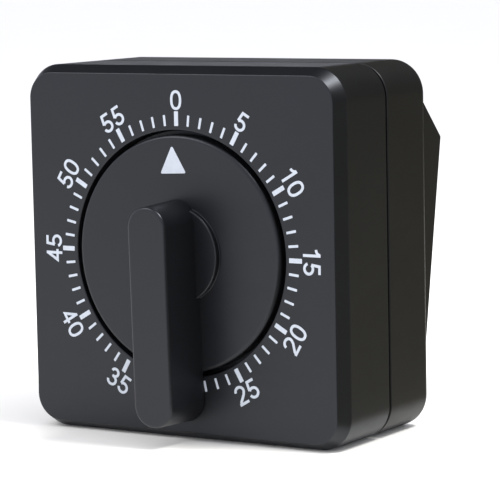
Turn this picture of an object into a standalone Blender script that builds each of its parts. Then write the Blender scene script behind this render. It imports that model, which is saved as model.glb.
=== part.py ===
"""A 60-minute mechanical kitchen timer, built as the real one comes apart.

The square case is two moulded shells held by four screws. The dial knob sits in a round
well in the front shell, on the winding arbor of a spring movement: mainspring, ratchet and
click, three wheels and their pinions, escape wheel, pallet lever and balance between two
plates, with the bell and its hammer behind them.

Sizes are in millimetres and are turned into metres as shapes are made. Shapes are placed in
dial coordinates: x to the right seen from the front, depth d behind the face, z up from the
dial's centre. One empty carries them to the object's frame, whose origin is the middle of
the bounding box's underside.
"""

import math

import bmesh
import bpy

MM = 0.001

# Fits between pieces
FIT = 0.3               # gap left between pieces that rest on, or fit into, each other
RUNNING = 0.4           # gap around a piece that turns

# Case
CASE_HALF = 38.0        # half the width and half the height of the square case
CORNER_R = 7.0          # the outline's corner radius
CHAMFER_IN = 1.6        # front edge: how far it comes in
CHAMFER_DEPTH = 2.9     # front edge: how deep it runs
FRONT_DEPTH = 18.3      # where the front shell ends
REVEAL = 0.7            # dark groove between the two shells
REAR_EDGE_R = 2.0       # rounding of the rear shell's back edge
BACK_DEPTH = 35.5       # depth of the flat part of the back
FRONT_WALL = 2.0
REAR_WALL = 2.6
BACK_WALL = 2.2
LIP_REACH = 2.0         # how far the rear shell's lip goes into the front shell
LIP_WALL = 1.5

# Wedge on the back, which tilts the face when the timer lies down. The insets are measured
# from the case's outline.
WEDGE_ANGLE = math.radians(10.34)
WEDGE_SIDE_INSET = 1.95
WEDGE_FOOT_INSET = 5.0   # where the slope leaves the back, near the bottom
WEDGE_PEAK_INSET = 16.6  # where the wedge is deepest, below the top
WEDGE_TOP_INSET = 6.7    # where its upper side meets the back
WEDGE_EDGE = 0.6         # rounding of its edges

# Dial knob
WELL_R = 25.15
WELL_DEPTH = 3.2
DISC_GAP = 0.95         # gap between the disc and the wall of the well
DISC_PROUD = 0.5        # how far the disc stands in front of the face
DISC_THICK = 3.1
DISC_LIP = 0.8          # rounding of the disc's rim
HUB_R = 10.0
HUB_HEIGHT = 1.2
SLEEVE_R = 4.5
BAR_FRONT = 11.7        # how far the bar's grip face stands in front of the case
BAR_GAP = 0.3           # gap under the end of the bar that passes over the case
BAR_HALF = 4.95         # half width at the foot
BAR_DRAFT = 0.5         # how much narrower each side is at the top
BAR_UP = 11.2           # reach above the dial's centre
BAR_END_INSET = 3.8     # how far the bar stops short of the case's outline
BAR_EDGE = 0.6
KNOB_REST_TURN = math.radians(-1.1)   # the stop lies just before the 0 mark

# Case screws
SCREW_SIDE_INSET = 8.0   # from the case's sides
SCREW_END_INSET = 11.0   # from its top and bottom
FRONT_POST_R = 3.0
REAR_POST_R = 4.0
SEAT_WALL = 5.0          # thickness under the screw heads
CASE_SCREW_R = 1.2
CASE_SCREW_GRIP = 8.3    # how far the screws reach into the front shell
CASE_HEAD_R = 2.3
CASE_HEAD_H = 1.6

# Sound slots in the wedge
SLOT_COUNT = 5
SLOT_HALF = 11.0
SLOT_R = 0.8
SLOT_PITCH = 4.2
SLOT_Z = 2.0            # height of the middle slot

# Movement plates
PLATE_STANDOFF = 2.4    # from the well's floor to the front plate
PLATE_SPACE = 13.4      # between the plates
PLATE_THICK = 1.0
FRONT_PLATE_HALF = 25.0
REAR_PLATE_HALF = 24.0
PLATE_CUT = 8.0         # cut corners of the rear plate
FRONT_PLATE_CUT = 2.5
MOUNT_AT = 22.3         # movement screws, at plus and minus this in x and z
MOUNT_POST_R = 2.6
MOUNT_SCREW_R = 1.1
MOUNT_HEAD_R = 2.2
MOUNT_HEAD_H = 1.4
MOUNT_HOLE_D = 2.6      # bottom of the blind hole in the post
PILLAR_R = 1.6
PILLAR_STUD_R = 0.9
PILLAR_SCREW_R = 0.7
PILLAR_HEAD_R = 1.8
PILLAR_PLACES = ((-20.0, 10.0), (20.0, 12.0), (14.0, -21.5), (-16.0, -20.5))

# Winding arbor and what turns with it
ARBOR_R = 2.0
ARBOR_FLAT = 1.4        # distance from the axis to the flat of the D
MAIN_BEFORE_REAR = 3.8  # from the main wheel's front to the rear plate
MAIN_THICK = 1.0
RATCHET_GAP_D = 0.3
RATCHET_THICK = 0.6
RATCHET_R = 5.6
RATCHET_TEETH = 16
RATCHET_TOOTH = 0.9
CAM_R = 4.5
CAM_NOTCH = 1.3
CAM_THICK = 0.8

# Mainspring
SPRING_AFTER_FRONT = 1.8  # from the front plate to the spring
SPRING_WIDTH = 4.8
SPRING_STRIP = 0.35
SPRING_EYE = 1.0        # gap between the arbor and the inner coil
SPRING_OUT_R = 11.8
SPRING_TURNS = 5.0

# Gear train: every wheel drives the next pinion
PINION_TEETH = 10
MAIN_TEETH = 60
MAIN_MODULE = 0.45
SECOND_TEETH = 50
SECOND_MODULE = 0.40
THIRD_TEETH = 50
THIRD_MODULE = 0.36
PRESSURE_ANGLE = math.radians(25.0)
ADDENDUM = 0.80         # in modules
DEDENDUM = 1.15         # in modules
BACKLASH = 0.17         # at the pitch line, in mm
WHEEL_THICK = 0.7
PINION_THICK = 1.7
ARBOR_THIN_R = 0.7
SECOND_BEFORE_MAIN = 2.0   # layers of the other wheels
THIRD_BEFORE_REAR = 1.6
ESCAPE_AFTER_SECOND = 0.4
TO_SECOND = math.radians(210.0)   # directions from one arbor to the next
TO_THIRD = math.radians(-40.0)
TO_ESCAPE = math.radians(0.0)
ESCAPE_TEETH = 15
ESCAPE_R = 5.4
ESCAPE_ROOT_R = 3.9

# Pallet lever and balance
PALLET_REACH = 8.2
TO_PALLET = math.radians(35.0)
PALLET_CLEAR = 0.7      # how far the pallets stay outside the escape wheel's tips
TO_BALANCE = math.radians(49.0)
BALANCE_REACH = 9.0
BALANCE_R = 6.0
BALANCE_RIM = 1.0
BALANCE_AFTER_FRONT = 4.0
BALANCE_THICK = 1.0
HAIRSPRING_BEFORE = 2.0
HAIRSPRING_TURNS = 4.0
HAIRSPRING_OUT_R = 4.6
HAIRSPRING_WIRE_R = 0.12

# Bell and hammer, behind the rear plate
BELL_Z = 8.0
BELL_R = 17.0
BELL_AFTER_REAR = 2.4
BELL_HEIGHT = 6.2
BELL_WALL = 0.8
BELL_POST_R = 1.8
BELL_STUD_R = 0.9
BELL_HEAD_R = 2.4
HAMMER_AT = (17.0, -8.0)
HAMMER_THICK = 0.8
HAMMER_ARM = 1.1        # half width of the lever's arms
HAMMER_HEAD_AT = (20.4, 7.0)
HAMMER_HEAD_R = 1.6
HAMMER_HEAD_H = 4.0
HAMMER_FINGER_AT = (6.6, -2.0)
HAMMER_PIN_R = 0.8

# Derived places, shared by the pieces that meet there
WEDGE_HALF = CASE_HALF - WEDGE_SIDE_INSET
WEDGE_FOOT_Z = WEDGE_FOOT_INSET - CASE_HALF
WEDGE_PEAK_Z = CASE_HALF - WEDGE_PEAK_INSET
WEDGE_TOP_Z = CASE_HALF - WEDGE_TOP_INSET
WEDGE_RISE = (WEDGE_PEAK_Z - WEDGE_FOOT_Z) * math.tan(WEDGE_ANGLE)
OVERALL_BACK = BACK_DEPTH + WEDGE_RISE
FACE_Y = -(OVERALL_BACK - BAR_FRONT) / 2.0
REAR_START = FRONT_DEPTH + REVEAL
SEAT_DEPTH = REAR_START + SEAT_WALL
CASE_SCREW_X = CASE_HALF - SCREW_SIDE_INSET
CASE_SCREW_Z = CASE_HALF - SCREW_END_INSET
SCREW_TIP = FRONT_DEPTH - CASE_SCREW_GRIP
DISC_R = WELL_R - DISC_GAP
BAR_DOWN = CASE_HALF - BAR_END_INSET
FRONT_PLATE_D = WELL_DEPTH + FRONT_WALL + PLATE_STANDOFF
INSIDE_FRONT_PLATE = FRONT_PLATE_D + PLATE_THICK
REAR_PLATE_D = INSIDE_FRONT_PLATE + PLATE_SPACE
BEHIND_REAR_PLATE = REAR_PLATE_D + PLATE_THICK
MAIN_D = REAR_PLATE_D - MAIN_BEFORE_REAR
RATCHET_D = MAIN_D + MAIN_THICK + RATCHET_GAP_D
SECOND_WHEEL_D = MAIN_D - SECOND_BEFORE_MAIN
THIRD_WHEEL_D = REAR_PLATE_D - THIRD_BEFORE_REAR
ESCAPE_WHEEL_D = SECOND_WHEEL_D + ESCAPE_AFTER_SECOND
SPRING_D = INSIDE_FRONT_PLATE + SPRING_AFTER_FRONT
SPRING_IN_R = ARBOR_R + SPRING_EYE
BALANCE_D = INSIDE_FRONT_PLATE + BALANCE_AFTER_FRONT
HAIRSPRING_D = BALANCE_D - HAIRSPRING_BEFORE
CAM_D = BEHIND_REAR_PLATE + 2.0 * FIT
BELL_D = BEHIND_REAR_PLATE + BELL_AFTER_REAR


def polar(origin, reach, angle):
    """The point at a distance and direction from another, in (x, z)."""
    return origin[0] + reach * math.cos(angle), origin[1] + reach * math.sin(angle)


def centre_distance(wheel_teeth, module):
    """Distance between the arbors of a wheel and the pinion it drives."""
    return (wheel_teeth + PINION_TEETH) * module / 2.0


MAIN_AT = (0.0, 0.0)
SECOND_AT = polar(MAIN_AT, centre_distance(MAIN_TEETH, MAIN_MODULE), TO_SECOND)
THIRD_AT = polar(SECOND_AT, centre_distance(SECOND_TEETH, SECOND_MODULE), TO_THIRD)
ESCAPE_AT = polar(THIRD_AT, centre_distance(THIRD_TEETH, THIRD_MODULE), TO_ESCAPE)
PALLET_AT = polar(ESCAPE_AT, PALLET_REACH, TO_PALLET)
BALANCE_AT = polar(PALLET_AT, BALANCE_REACH, TO_BALANCE)
CASE_SCREWS = [(sx * CASE_SCREW_X, sz * CASE_SCREW_Z) for sx in (-1, 1) for sz in (-1, 1)]
MOUNT_SCREWS = [(sx * MOUNT_AT, sz * MOUNT_AT) for sx in (-1, 1) for sz in (-1, 1)]


# ---------------------------------------------------------------- scene helpers

def clear_scene():
    """Remove what a new file starts with."""
    for obj in list(bpy.data.objects):
        bpy.data.objects.remove(obj, do_unlink=True)


def new_collection(name):
    """Make a collection under the scene's own."""
    made = bpy.data.collections.new(name)
    bpy.context.scene.collection.children.link(made)
    return made


clear_scene()
PARTS = new_collection("kitchen_timer")
CUTTERS = new_collection("kitchen_timer_cutters")
DIAL = bpy.data.objects.new("dial_centre", None)
DIAL.location = (0.0, FACE_Y * MM, CASE_HALF * MM)
PARTS.objects.link(DIAL)


def material(name, color, roughness, metallic=0.0):
    """A Principled material of one finish."""
    mat = bpy.data.materials.new(name)
    mat.use_nodes = True
    shader = mat.node_tree.nodes["Principled BSDF"]
    shader.inputs["Base Color"].default_value = (*color, 1.0)
    shader.inputs["Roughness"].default_value = roughness
    shader.inputs["Metallic"].default_value = metallic
    mat.diffuse_color = (*color, 1.0)
    return mat


FINISHES = {
    "black_plastic": ((0.045, 0.046, 0.050), 0.42, 0.0),
    "steel": ((0.55, 0.56, 0.57), 0.35, 1.0),
    "brass": ((0.78, 0.57, 0.25), 0.32, 1.0),
    "blued_steel": ((0.12, 0.15, 0.24), 0.30, 1.0),
    "bell_steel": ((0.70, 0.70, 0.69), 0.18, 1.0),
}


def place(obj, finish, at, collection=PARTS):
    """Parent an object to the dial's centre, give it its finish and link it."""
    obj.location = (at[0] * MM, at[1] * MM, at[2] * MM)
    obj.parent = DIAL
    if finish is not None:
        obj.data.materials.append(material(obj.name, *FINISHES[finish]))
    collection.objects.link(obj)
    return obj


def mark_cutter(obj):
    """Cutters are drawn as wires and never rendered."""
    obj.hide_render = True
    obj.display_type = "WIRE"
    return obj


def smooth(obj, degrees=35.0):
    """Shade the round sides smooth and keep the corners sharp."""
    obj.data.shade_smooth()
    obj.data.set_sharp_from_angle(angle=math.radians(degrees))
    return obj


# ---------------------------------------------------------------- shape helpers

def circle(radius, points, centre=(0.0, 0.0)):
    """Points around a circle."""
    return [polar(centre, radius, 2.0 * math.pi * k / points) for k in range(points)]


def arc(centre, radius, start, end, points):
    """Points along an arc, its ends included."""
    step = (end - start) / (points - 1)
    return [polar(centre, radius, start + step * k) for k in range(points)]


def rounded_square(half, radius, points=6):
    """A square outline whose corners are arcs."""
    inner = half - radius
    outline = []
    for k, (sx, sz) in enumerate(((1, 1), (-1, 1), (-1, -1), (1, -1))):
        start = k * math.pi / 2.0
        outline += arc((sx * inner, sz * inner), radius, start, start + math.pi / 2.0, points)
    return outline


def stadium(half, up, down, points=13):
    """A bar with two round ends, its length along z."""
    top = arc((0.0, up - half), half, 0.0, math.pi, points)
    bottom = arc((0.0, half - down), half, math.pi, 2.0 * math.pi, points)
    return top + bottom


def cut_square(half, cut):
    """A square plate with its corners cut off."""
    near = half - cut
    return [(half, -near), (half, near), (near, half), (-near, half),
            (-half, near), (-half, -near), (-near, -half), (near, -half)]


def plate(name, loops, depth, thick, finish=None, at=(0.0, 0.0), collection=PARTS):
    """A flat piece with an outline and holes, its front at a depth.

    The loops are points in (x, z) about the piece's own place; the first is the outline.
    """
    curve = bpy.data.curves.new(name, "CURVE")
    curve.dimensions = "2D"
    curve.fill_mode = "BOTH"
    curve.extrude = thick / 2.0 * MM
    for loop in loops:
        spline = curve.splines.new("POLY")
        spline.points.add(len(loop) - 1)
        for point, (x, z) in zip(spline.points, loop):
            point.co = (x * MM, z * MM, 0.0, 1.0)
        spline.use_cyclic_u = True
    obj = bpy.data.objects.new(name, curve)
    obj.rotation_euler = (math.radians(90.0), 0.0, 0.0)
    return place(obj, finish, (at[0], depth + thick / 2.0, at[1]), collection)


def as_mesh(obj):
    """Replace a curve object by a closed mesh object in dial coordinates."""
    bpy.context.view_layer.update()
    graph = bpy.context.evaluated_depsgraph_get()
    mesh = bpy.data.meshes.new_from_object(obj.evaluated_get(graph))
    mesh.transform(obj.matrix_local)
    shape = bmesh.new()
    shape.from_mesh(mesh)
    bmesh.ops.remove_doubles(shape, verts=shape.verts, dist=0.00001)
    shape.normal_update()
    bmesh.ops.recalc_face_normals(shape, faces=shape.faces)
    shape.to_mesh(mesh)
    shape.free()
    name = obj.name
    mesh.name = name
    collection = obj.users_collection[0]
    bpy.data.objects.remove(obj, do_unlink=True)
    made = bpy.data.objects.new(name, mesh)
    return place(made, None, (0.0, 0.0, 0.0), collection)


def inset_end(obj, depth_sign, steps):
    """Draw in one end face of a prism by (inwards, outwards) steps.

    depth_sign is -1 for the front end and 1 for the rear end.
    """
    shape = bmesh.new()
    shape.from_mesh(obj.data)
    bmesh.ops.dissolve_limit(shape, angle_limit=0.01, verts=shape.verts, edges=shape.edges)
    end = max(shape.faces, key=lambda f: f.calc_center_median().y * depth_sign)
    for inwards, outwards in steps:
        bmesh.ops.inset_region(shape, faces=[end], thickness=inwards * MM,
                               use_even_offset=True)
        for vert in end.verts:
            vert.co.y += depth_sign * outwards * MM
    shape.to_mesh(obj.data)
    shape.free()
    return obj


def quarter_round(radius, count):
    """Inset steps that follow a quarter circle from the side to the end."""
    angles = [math.pi / 2.0 * k / count for k in range(count + 1)]
    return [(radius * (math.cos(a) - math.cos(b)), radius * (math.sin(b) - math.sin(a)))
            for a, b in zip(angles, angles[1:])]


def turned(name, profile, finish=None, at=(0.0, 0.0), steps=24, collection=PARTS):
    """A turned piece from (radius, depth) points, its outer side listed rear to front."""
    mesh = bpy.data.meshes.new(name)
    count = len(profile)
    edges = [(k, k + 1) for k in range(count - 1)]
    if profile[0][0] > 0.0:
        edges.append((count - 1, 0))
    mesh.from_pydata([(r * MM, 0.0, d * MM) for r, d in profile], edges, [])
    obj = bpy.data.objects.new(name, mesh)
    obj.rotation_euler = (math.radians(-90.0), 0.0, 0.0)
    screw = obj.modifiers.new("turn", "SCREW")
    screw.axis = "Z"
    screw.steps = steps
    screw.render_steps = steps
    screw.use_merge_vertices = True
    screw.merge_threshold = 0.00001
    screw.use_smooth_shade = True
    return place(obj, finish, (at[0], 0.0, at[1]), collection)


def rods(name, places, radius, front, rear, points=16, collection=CUTTERS, finish=None):
    """Cylinders along the depth, one at each place."""
    mesh = bpy.data.meshes.new(name)
    shape = bmesh.new()
    for x, z in places:
        made = bmesh.ops.create_cone(shape, cap_ends=True, segments=points,
                                     radius1=radius * MM, radius2=radius * MM,
                                     depth=(rear - front) * MM)
        for vert in made["verts"]:
            across, up, along = vert.co
            vert.co = (across + x * MM, along + (front + rear) / 2.0 * MM, up + z * MM)
    shape.normal_update()
    bmesh.ops.recalc_face_normals(shape, faces=shape.faces)
    shape.to_mesh(mesh)
    shape.free()
    obj = bpy.data.objects.new(name, mesh)
    place(obj, finish, (0.0, 0.0, 0.0), collection)
    return mark_cutter(obj) if collection is CUTTERS else obj


def prism_cutter(name, loop, front, rear, at=(0.0, 0.0)):
    """A closed prism along the depth, kept as a cutter."""
    flat = plate(name, [loop], front, rear - front, at=at, collection=CUTTERS)
    return mark_cutter(as_mesh(flat))


def boolean(obj, tool, operation="DIFFERENCE"):
    """Cut with, or join, another solid."""
    step = obj.modifiers.new(tool.name, "BOOLEAN")
    step.operation = operation
    step.solver = "EXACT"
    step.object = tool
    return obj


def side_prism(name, half, outline):
    """A prism along x from an outline in (depth, z), kept as a cutter or a tool."""
    curve = bpy.data.curves.new(name, "CURVE")
    curve.dimensions = "2D"
    curve.fill_mode = "BOTH"
    curve.extrude = half * MM
    spline = curve.splines.new("POLY")
    spline.points.add(len(outline) - 1)
    for point, (d, z) in zip(spline.points, outline):
        point.co = (d * MM, z * MM, 0.0, 1.0)
    spline.use_cyclic_u = True
    obj = bpy.data.objects.new(name, curve)
    obj.rotation_euler = (math.radians(90.0), 0.0, math.radians(90.0))
    place(obj, None, (0.0, 0.0, 0.0), CUTTERS)
    return mark_cutter(as_mesh(obj))


def round_edges(obj, width, segments=2, degrees=30.0):
    """Round the edges that are sharper than an angle."""
    bevel = obj.modifiers.new("rounded_edges", "BEVEL")
    bevel.width = width * MM
    bevel.segments = segments
    bevel.limit_method = "ANGLE"
    bevel.angle_limit = math.radians(degrees)
    return obj


# ---------------------------------------------------------------- case

def wedge_outline(grow):
    """The wedge's side outline in (depth, z), moved outwards by a distance.

    Below the peak its side is z = foot + rise / slope, above it z = top - rise * fall / run,
    with the rise measured from the flat of the back.
    """
    slope = math.tan(WEDGE_ANGLE)
    steep = (WEDGE_TOP_Z - WEDGE_PEAK_Z) / WEDGE_RISE
    foot_z = WEDGE_FOOT_Z - grow / math.sin(WEDGE_ANGLE)
    top_z = WEDGE_TOP_Z + grow * math.hypot(1.0, steep)
    peak = (top_z - foot_z) / (1.0 / slope + steep)
    base = -BACK_WALL - 1.0
    # both sides end inside the back wall, clear of the rounded edge
    limit = CASE_HALF - REAR_EDGE_R - 1.0 + min(grow, 0.0)
    low = -min(limit, -foot_z - base / slope)
    high = min(limit, top_z - base * steep)
    outline = [(base, low), ((low - foot_z) * slope, low), (peak, foot_z + peak / slope),
               ((top_z - high) / steep, high), (base, high)]
    return [(BACK_DEPTH + d, z) for d, z in outline]


def build_front_shell():
    """The front shell: face, chamfered edge, dial well, screw posts."""
    outline = rounded_square(CASE_HALF, CORNER_R)
    shell = as_mesh(plate("front_shell", [outline], CHAMFER_DEPTH, FRONT_DEPTH - CHAMFER_DEPTH))
    inset_end(shell, -1, [(CHAMFER_IN, CHAMFER_DEPTH)])
    shell.data.materials.append(material("front_shell", *FINISHES["black_plastic"]))

    hollow = prism_cutter("front_hollow",
                          rounded_square(CASE_HALF - FRONT_WALL, CORNER_R - FRONT_WALL),
                          FRONT_WALL, FRONT_DEPTH + 5.0)
    boolean(hollow, rods("well_cup", [MAIN_AT], WELL_R + FRONT_WALL, 0.0,
                         WELL_DEPTH + FRONT_WALL, 48))
    boolean(hollow, rods("front_posts", CASE_SCREWS, FRONT_POST_R, 0.0, FRONT_DEPTH + 10.0))
    boolean(hollow, rods("mount_posts", MOUNT_SCREWS, MOUNT_POST_R, 0.0,
                         FRONT_PLATE_D - FIT))
    boolean(shell, hollow)
    boolean(shell, rods("well", [MAIN_AT], WELL_R, -5.0, WELL_DEPTH, 48))
    boolean(shell, rods("sleeve_hole", [MAIN_AT], SLEEVE_R + RUNNING, 0.0,
                        WELL_DEPTH + FRONT_WALL + 5.0, 32))
    boolean(shell, rods("case_pilots", CASE_SCREWS, CASE_SCREW_R + FIT,
                        SCREW_TIP - 1.0, FRONT_DEPTH + 5.0, 12))
    boolean(shell, rods("mount_pilots", MOUNT_SCREWS, MOUNT_SCREW_R + FIT,
                        MOUNT_HOLE_D, FRONT_PLATE_D + 2.0, 12))
    return shell


def build_rear_shell():
    """The rear shell: lip, wedge, screw posts, sound slots."""
    side_end = BACK_DEPTH - REAR_EDGE_R
    outline = rounded_square(CASE_HALF, CORNER_R)
    shell = as_mesh(plate("rear_shell", [outline], REAR_START, side_end - REAR_START))
    inset_end(shell, 1, quarter_round(REAR_EDGE_R, 3))
    shell.data.materials.append(material("rear_shell", *FINISHES["black_plastic"]))

    wedge = side_prism("wedge", WEDGE_HALF, wedge_outline(0.0))
    round_edges(wedge, WEDGE_EDGE)
    boolean(shell, wedge, "UNION")

    hollow = prism_cutter("rear_hollow",
                          rounded_square(CASE_HALF - REAR_WALL, CORNER_R - REAR_WALL),
                          REAR_START - 5.0, BACK_DEPTH - BACK_WALL)
    boolean(hollow, side_prism("wedge_hollow", WEDGE_HALF - BACK_WALL,
                               wedge_outline(-BACK_WALL)), "UNION")
    boolean(hollow, rods("rear_posts", CASE_SCREWS, REAR_POST_R, 0.0,
                         OVERALL_BACK + 10.0, 20))
    boolean(shell, hollow)

    lip_half = CASE_HALF - FRONT_WALL - FIT
    lip_r = CORNER_R - FRONT_WALL - FIT
    lip = as_mesh(plate("lip", [rounded_square(lip_half, lip_r),
                                rounded_square(lip_half - LIP_WALL, lip_r - LIP_WALL)],
                        FRONT_DEPTH - LIP_REACH, REVEAL + LIP_REACH + 2.0,
                        collection=CUTTERS))
    boolean(shell, mark_cutter(lip), "UNION")
    boolean(shell, rods("shank_holes", CASE_SCREWS, CASE_SCREW_R + FIT,
                        REAR_START - 5.0, SEAT_DEPTH + 5.0, 12))
    boolean(shell, rods("head_wells", CASE_SCREWS, CASE_HEAD_R + FIT, SEAT_DEPTH,
                        OVERALL_BACK + 10.0, 20))
    for k in range(SLOT_COUNT):
        z = SLOT_Z + SLOT_PITCH * (k - (SLOT_COUNT - 1) / 2.0)
        slot = [(x, y) for y, x in stadium(SLOT_R, SLOT_HALF, SLOT_HALF, 5)]
        boolean(shell, prism_cutter(f"slot_{k + 1}", slot, BACK_DEPTH - BACK_WALL - 2.0,
                                    OVERALL_BACK + 5.0, at=(0.0, z)))
    return shell


def screw(name, at, seat, tip, shank_r, head_r, head_h, sides=14):
    """A screw with a pan head, driven from the rear and seated at a depth."""
    under = seat + FIT
    profile = [(0.0, under + head_h), (head_r - 0.4, under + head_h),
               (head_r, under + head_h - 0.4), (head_r, under), (shank_r, under),
               (shank_r, tip + shank_r), (0.0, tip)]
    return turned(name, profile, "steel", at, sides)


# ---------------------------------------------------------------- knob

def arbor_outline(radius, flat):
    """A circle cut by one flat, which faces up."""
    half = math.acos(flat / radius)
    start = math.pi / 2.0 + half
    return arc((0.0, 0.0), radius, start, start + 2.0 * math.pi - 2.0 * half, 20)


def build_knob():
    """The dial knob: disc, hub, grip bar and sleeve in one moulding."""
    disc_back = DISC_THICK - DISC_PROUD
    sleeve_end = FRONT_PLATE_D - 2.0 * FIT
    rim = [(DISC_R - DISC_LIP + DISC_LIP * math.cos(a),
            -DISC_PROUD + DISC_LIP - DISC_LIP * math.sin(a))
           for a in (0.0, math.pi / 6.0, math.pi / 3.0, math.pi / 2.0)]
    hub_front = -DISC_PROUD - HUB_HEIGHT
    profile = [(0.0, sleeve_end), (SLEEVE_R, sleeve_end), (SLEEVE_R, disc_back),
               (DISC_R, disc_back)] + rim
    profile += [(HUB_R, -DISC_PROUD), (HUB_R, hub_front + 0.3), (HUB_R - 0.3, hub_front),
                (0.0, hub_front)]
    knob = turned("dial_knob", profile, "black_plastic", steps=48)
    knob.rotation_euler = (math.radians(-90.0), 0.0, 0.0)

    bar_front = BAR_FRONT - BAR_EDGE
    bar = as_mesh(plate("grip_bar", [stadium(BAR_HALF, BAR_UP, BAR_DOWN)],
                        -BAR_GAP - 0.4, 0.4, collection=CUTTERS))
    inset_end(bar, -1, [(BAR_DRAFT, bar_front - BAR_GAP - 0.4)]
              + quarter_round(BAR_EDGE, 2))
    boolean(knob, mark_cutter(bar), "UNION")
    boolean(knob, prism_cutter("knob_bore", arbor_outline(ARBOR_R + FIT, ARBOR_FLAT + FIT),
                               1.0, FRONT_PLATE_D + 5.0))
    # the knob turns about its own axis, and rests at its stop
    turn = bpy.data.objects.new("knob_axis", None)
    turn.parent = DIAL
    PARTS.objects.link(turn)
    for piece in (knob, bar, bpy.data.objects["knob_bore"]):
        piece.parent = turn
    turn.rotation_euler = (0.0, KNOB_REST_TURN, 0.0)
    return turn


# ---------------------------------------------------------------- movement

def involute(angle):
    return math.tan(angle) - angle


def gear_outline(teeth, module, towards, tooth_there, flank_points):
    """A gear's outline with involute flanks.

    towards is the direction of the gear it meshes with. A tooth points that way if
    tooth_there is true, and a gap does if it is false.
    """
    pitch_r = teeth * module / 2.0
    base_r = pitch_r * math.cos(PRESSURE_ANGLE)
    tip_r = pitch_r + ADDENDUM * module
    root_r = pitch_r - DEDENDUM * module
    start_r = max(root_r, base_r)
    half_pitch = math.pi / (2.0 * teeth) - BACKLASH / (4.0 * pitch_r)

    def half_angle(radius):
        return (half_pitch + involute(PRESSURE_ANGLE)
                - involute(math.acos(min(1.0, base_r / radius))))

    radii = [start_r + (tip_r - start_r) * k / (flank_points - 1) for k in range(flank_points)]
    flank = [(r, half_angle(r)) for r in radii]
    if root_r < base_r:
        flank.insert(0, (root_r, half_angle(start_r)))
    outline = []
    shift = 0.0 if tooth_there else math.pi / teeth
    for k in range(teeth):
        middle = towards + shift + 2.0 * math.pi * k / teeth
        outline += [polar((0.0, 0.0), r, middle - a) for r, a in flank]
        outline += [polar((0.0, 0.0), r, middle + a) for r, a in reversed(flank)]
    return outline


def windows(count, centre_r, radius, points=14):
    """Round lightening holes around a wheel."""
    return [circle(radius, points, polar((0.0, 0.0), centre_r, 2.0 * math.pi * k / count))
            for k in range(count)]


def arbor(name, at):
    """A thin arbor that runs in both plates."""
    front = FRONT_PLATE_D + FIT
    rear = BEHIND_REAR_PLATE - FIT
    pivot_r = ARBOR_THIN_R - 0.2
    profile = [(0.0, rear), (pivot_r, rear), (pivot_r, REAR_PLATE_D - FIT),
               (ARBOR_THIN_R, REAR_PLATE_D - FIT),
               (ARBOR_THIN_R, INSIDE_FRONT_PLATE + FIT),
               (pivot_r, INSIDE_FRONT_PLATE + FIT), (pivot_r, front), (0.0, front)]
    return turned(name, profile, "steel", at, 12)


def geared_arbor(label, at, back_to, onward, pinion_d, pinion_module, wheel):
    """An arbor with its pinion and its wheel.

    back_to and onward are the directions to the wheel that drives the pinion and to the
    pinion that the wheel drives. wheel is (teeth, module, depth, window radius).
    """
    arbor(f"{label}_arbor", at)
    bore = circle(ARBOR_THIN_R + FIT, 12)
    plate(f"{label}_pinion",
          [gear_outline(PINION_TEETH, pinion_module, back_to, False, 3), bore],
          pinion_d, PINION_THICK, "steel", at)
    teeth, module, depth, window_r = wheel
    middle_r = teeth * module / 2.0 * 0.58
    plate(f"{label}_wheel",
          [gear_outline(teeth, module, onward, True, 2), bore]
          + windows(5, middle_r, window_r), depth, WHEEL_THICK, "brass", at)


def escape_outline():
    """Pointed teeth that lean forward."""
    outline = []
    for k in range(ESCAPE_TEETH):
        here = 2.0 * math.pi * k / ESCAPE_TEETH
        step = 2.0 * math.pi / ESCAPE_TEETH
        outline += [polar((0.0, 0.0), ESCAPE_ROOT_R, here),
                    polar((0.0, 0.0), ESCAPE_R, here + 0.42 * step),
                    polar((0.0, 0.0), ESCAPE_R, here + 0.52 * step),
                    polar((0.0, 0.0), ESCAPE_ROOT_R, here + 0.62 * step)]
    return outline


def ratchet_outline():
    """Saw teeth."""
    outline = []
    for k in range(RATCHET_TEETH):
        here = 2.0 * math.pi * k / RATCHET_TEETH
        step = 2.0 * math.pi / RATCHET_TEETH
        outline += [polar((0.0, 0.0), RATCHET_R - RATCHET_TOOTH, here),
                    polar((0.0, 0.0), RATCHET_R, here + 0.92 * step)]
    return outline


def strip_outline(line, half):
    """The outline of a strip that follows a line of points."""
    left, right = [], []
    for k, (x, z) in enumerate(line):
        before = line[max(k - 1, 0)]
        after = line[min(k + 1, len(line) - 1)]
        along = math.atan2(after[1] - before[1], after[0] - before[0])
        left.append(polar((x, z), half, along + math.pi / 2.0))
        right.append(polar((x, z), half, along - math.pi / 2.0))
    return left + right[::-1]


def spiral(inner_r, outer_r, turns, end_angle, per_turn):
    """Points along a flat spiral that ends at an angle."""
    count = int(turns * per_turn)
    points = []
    for k in range(count + 1):
        share = k / count
        angle = end_angle - 2.0 * math.pi * turns * (1.0 - share)
        points.append(polar((0.0, 0.0), inner_r + (outer_r - inner_r) * share, angle))
    return points


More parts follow.
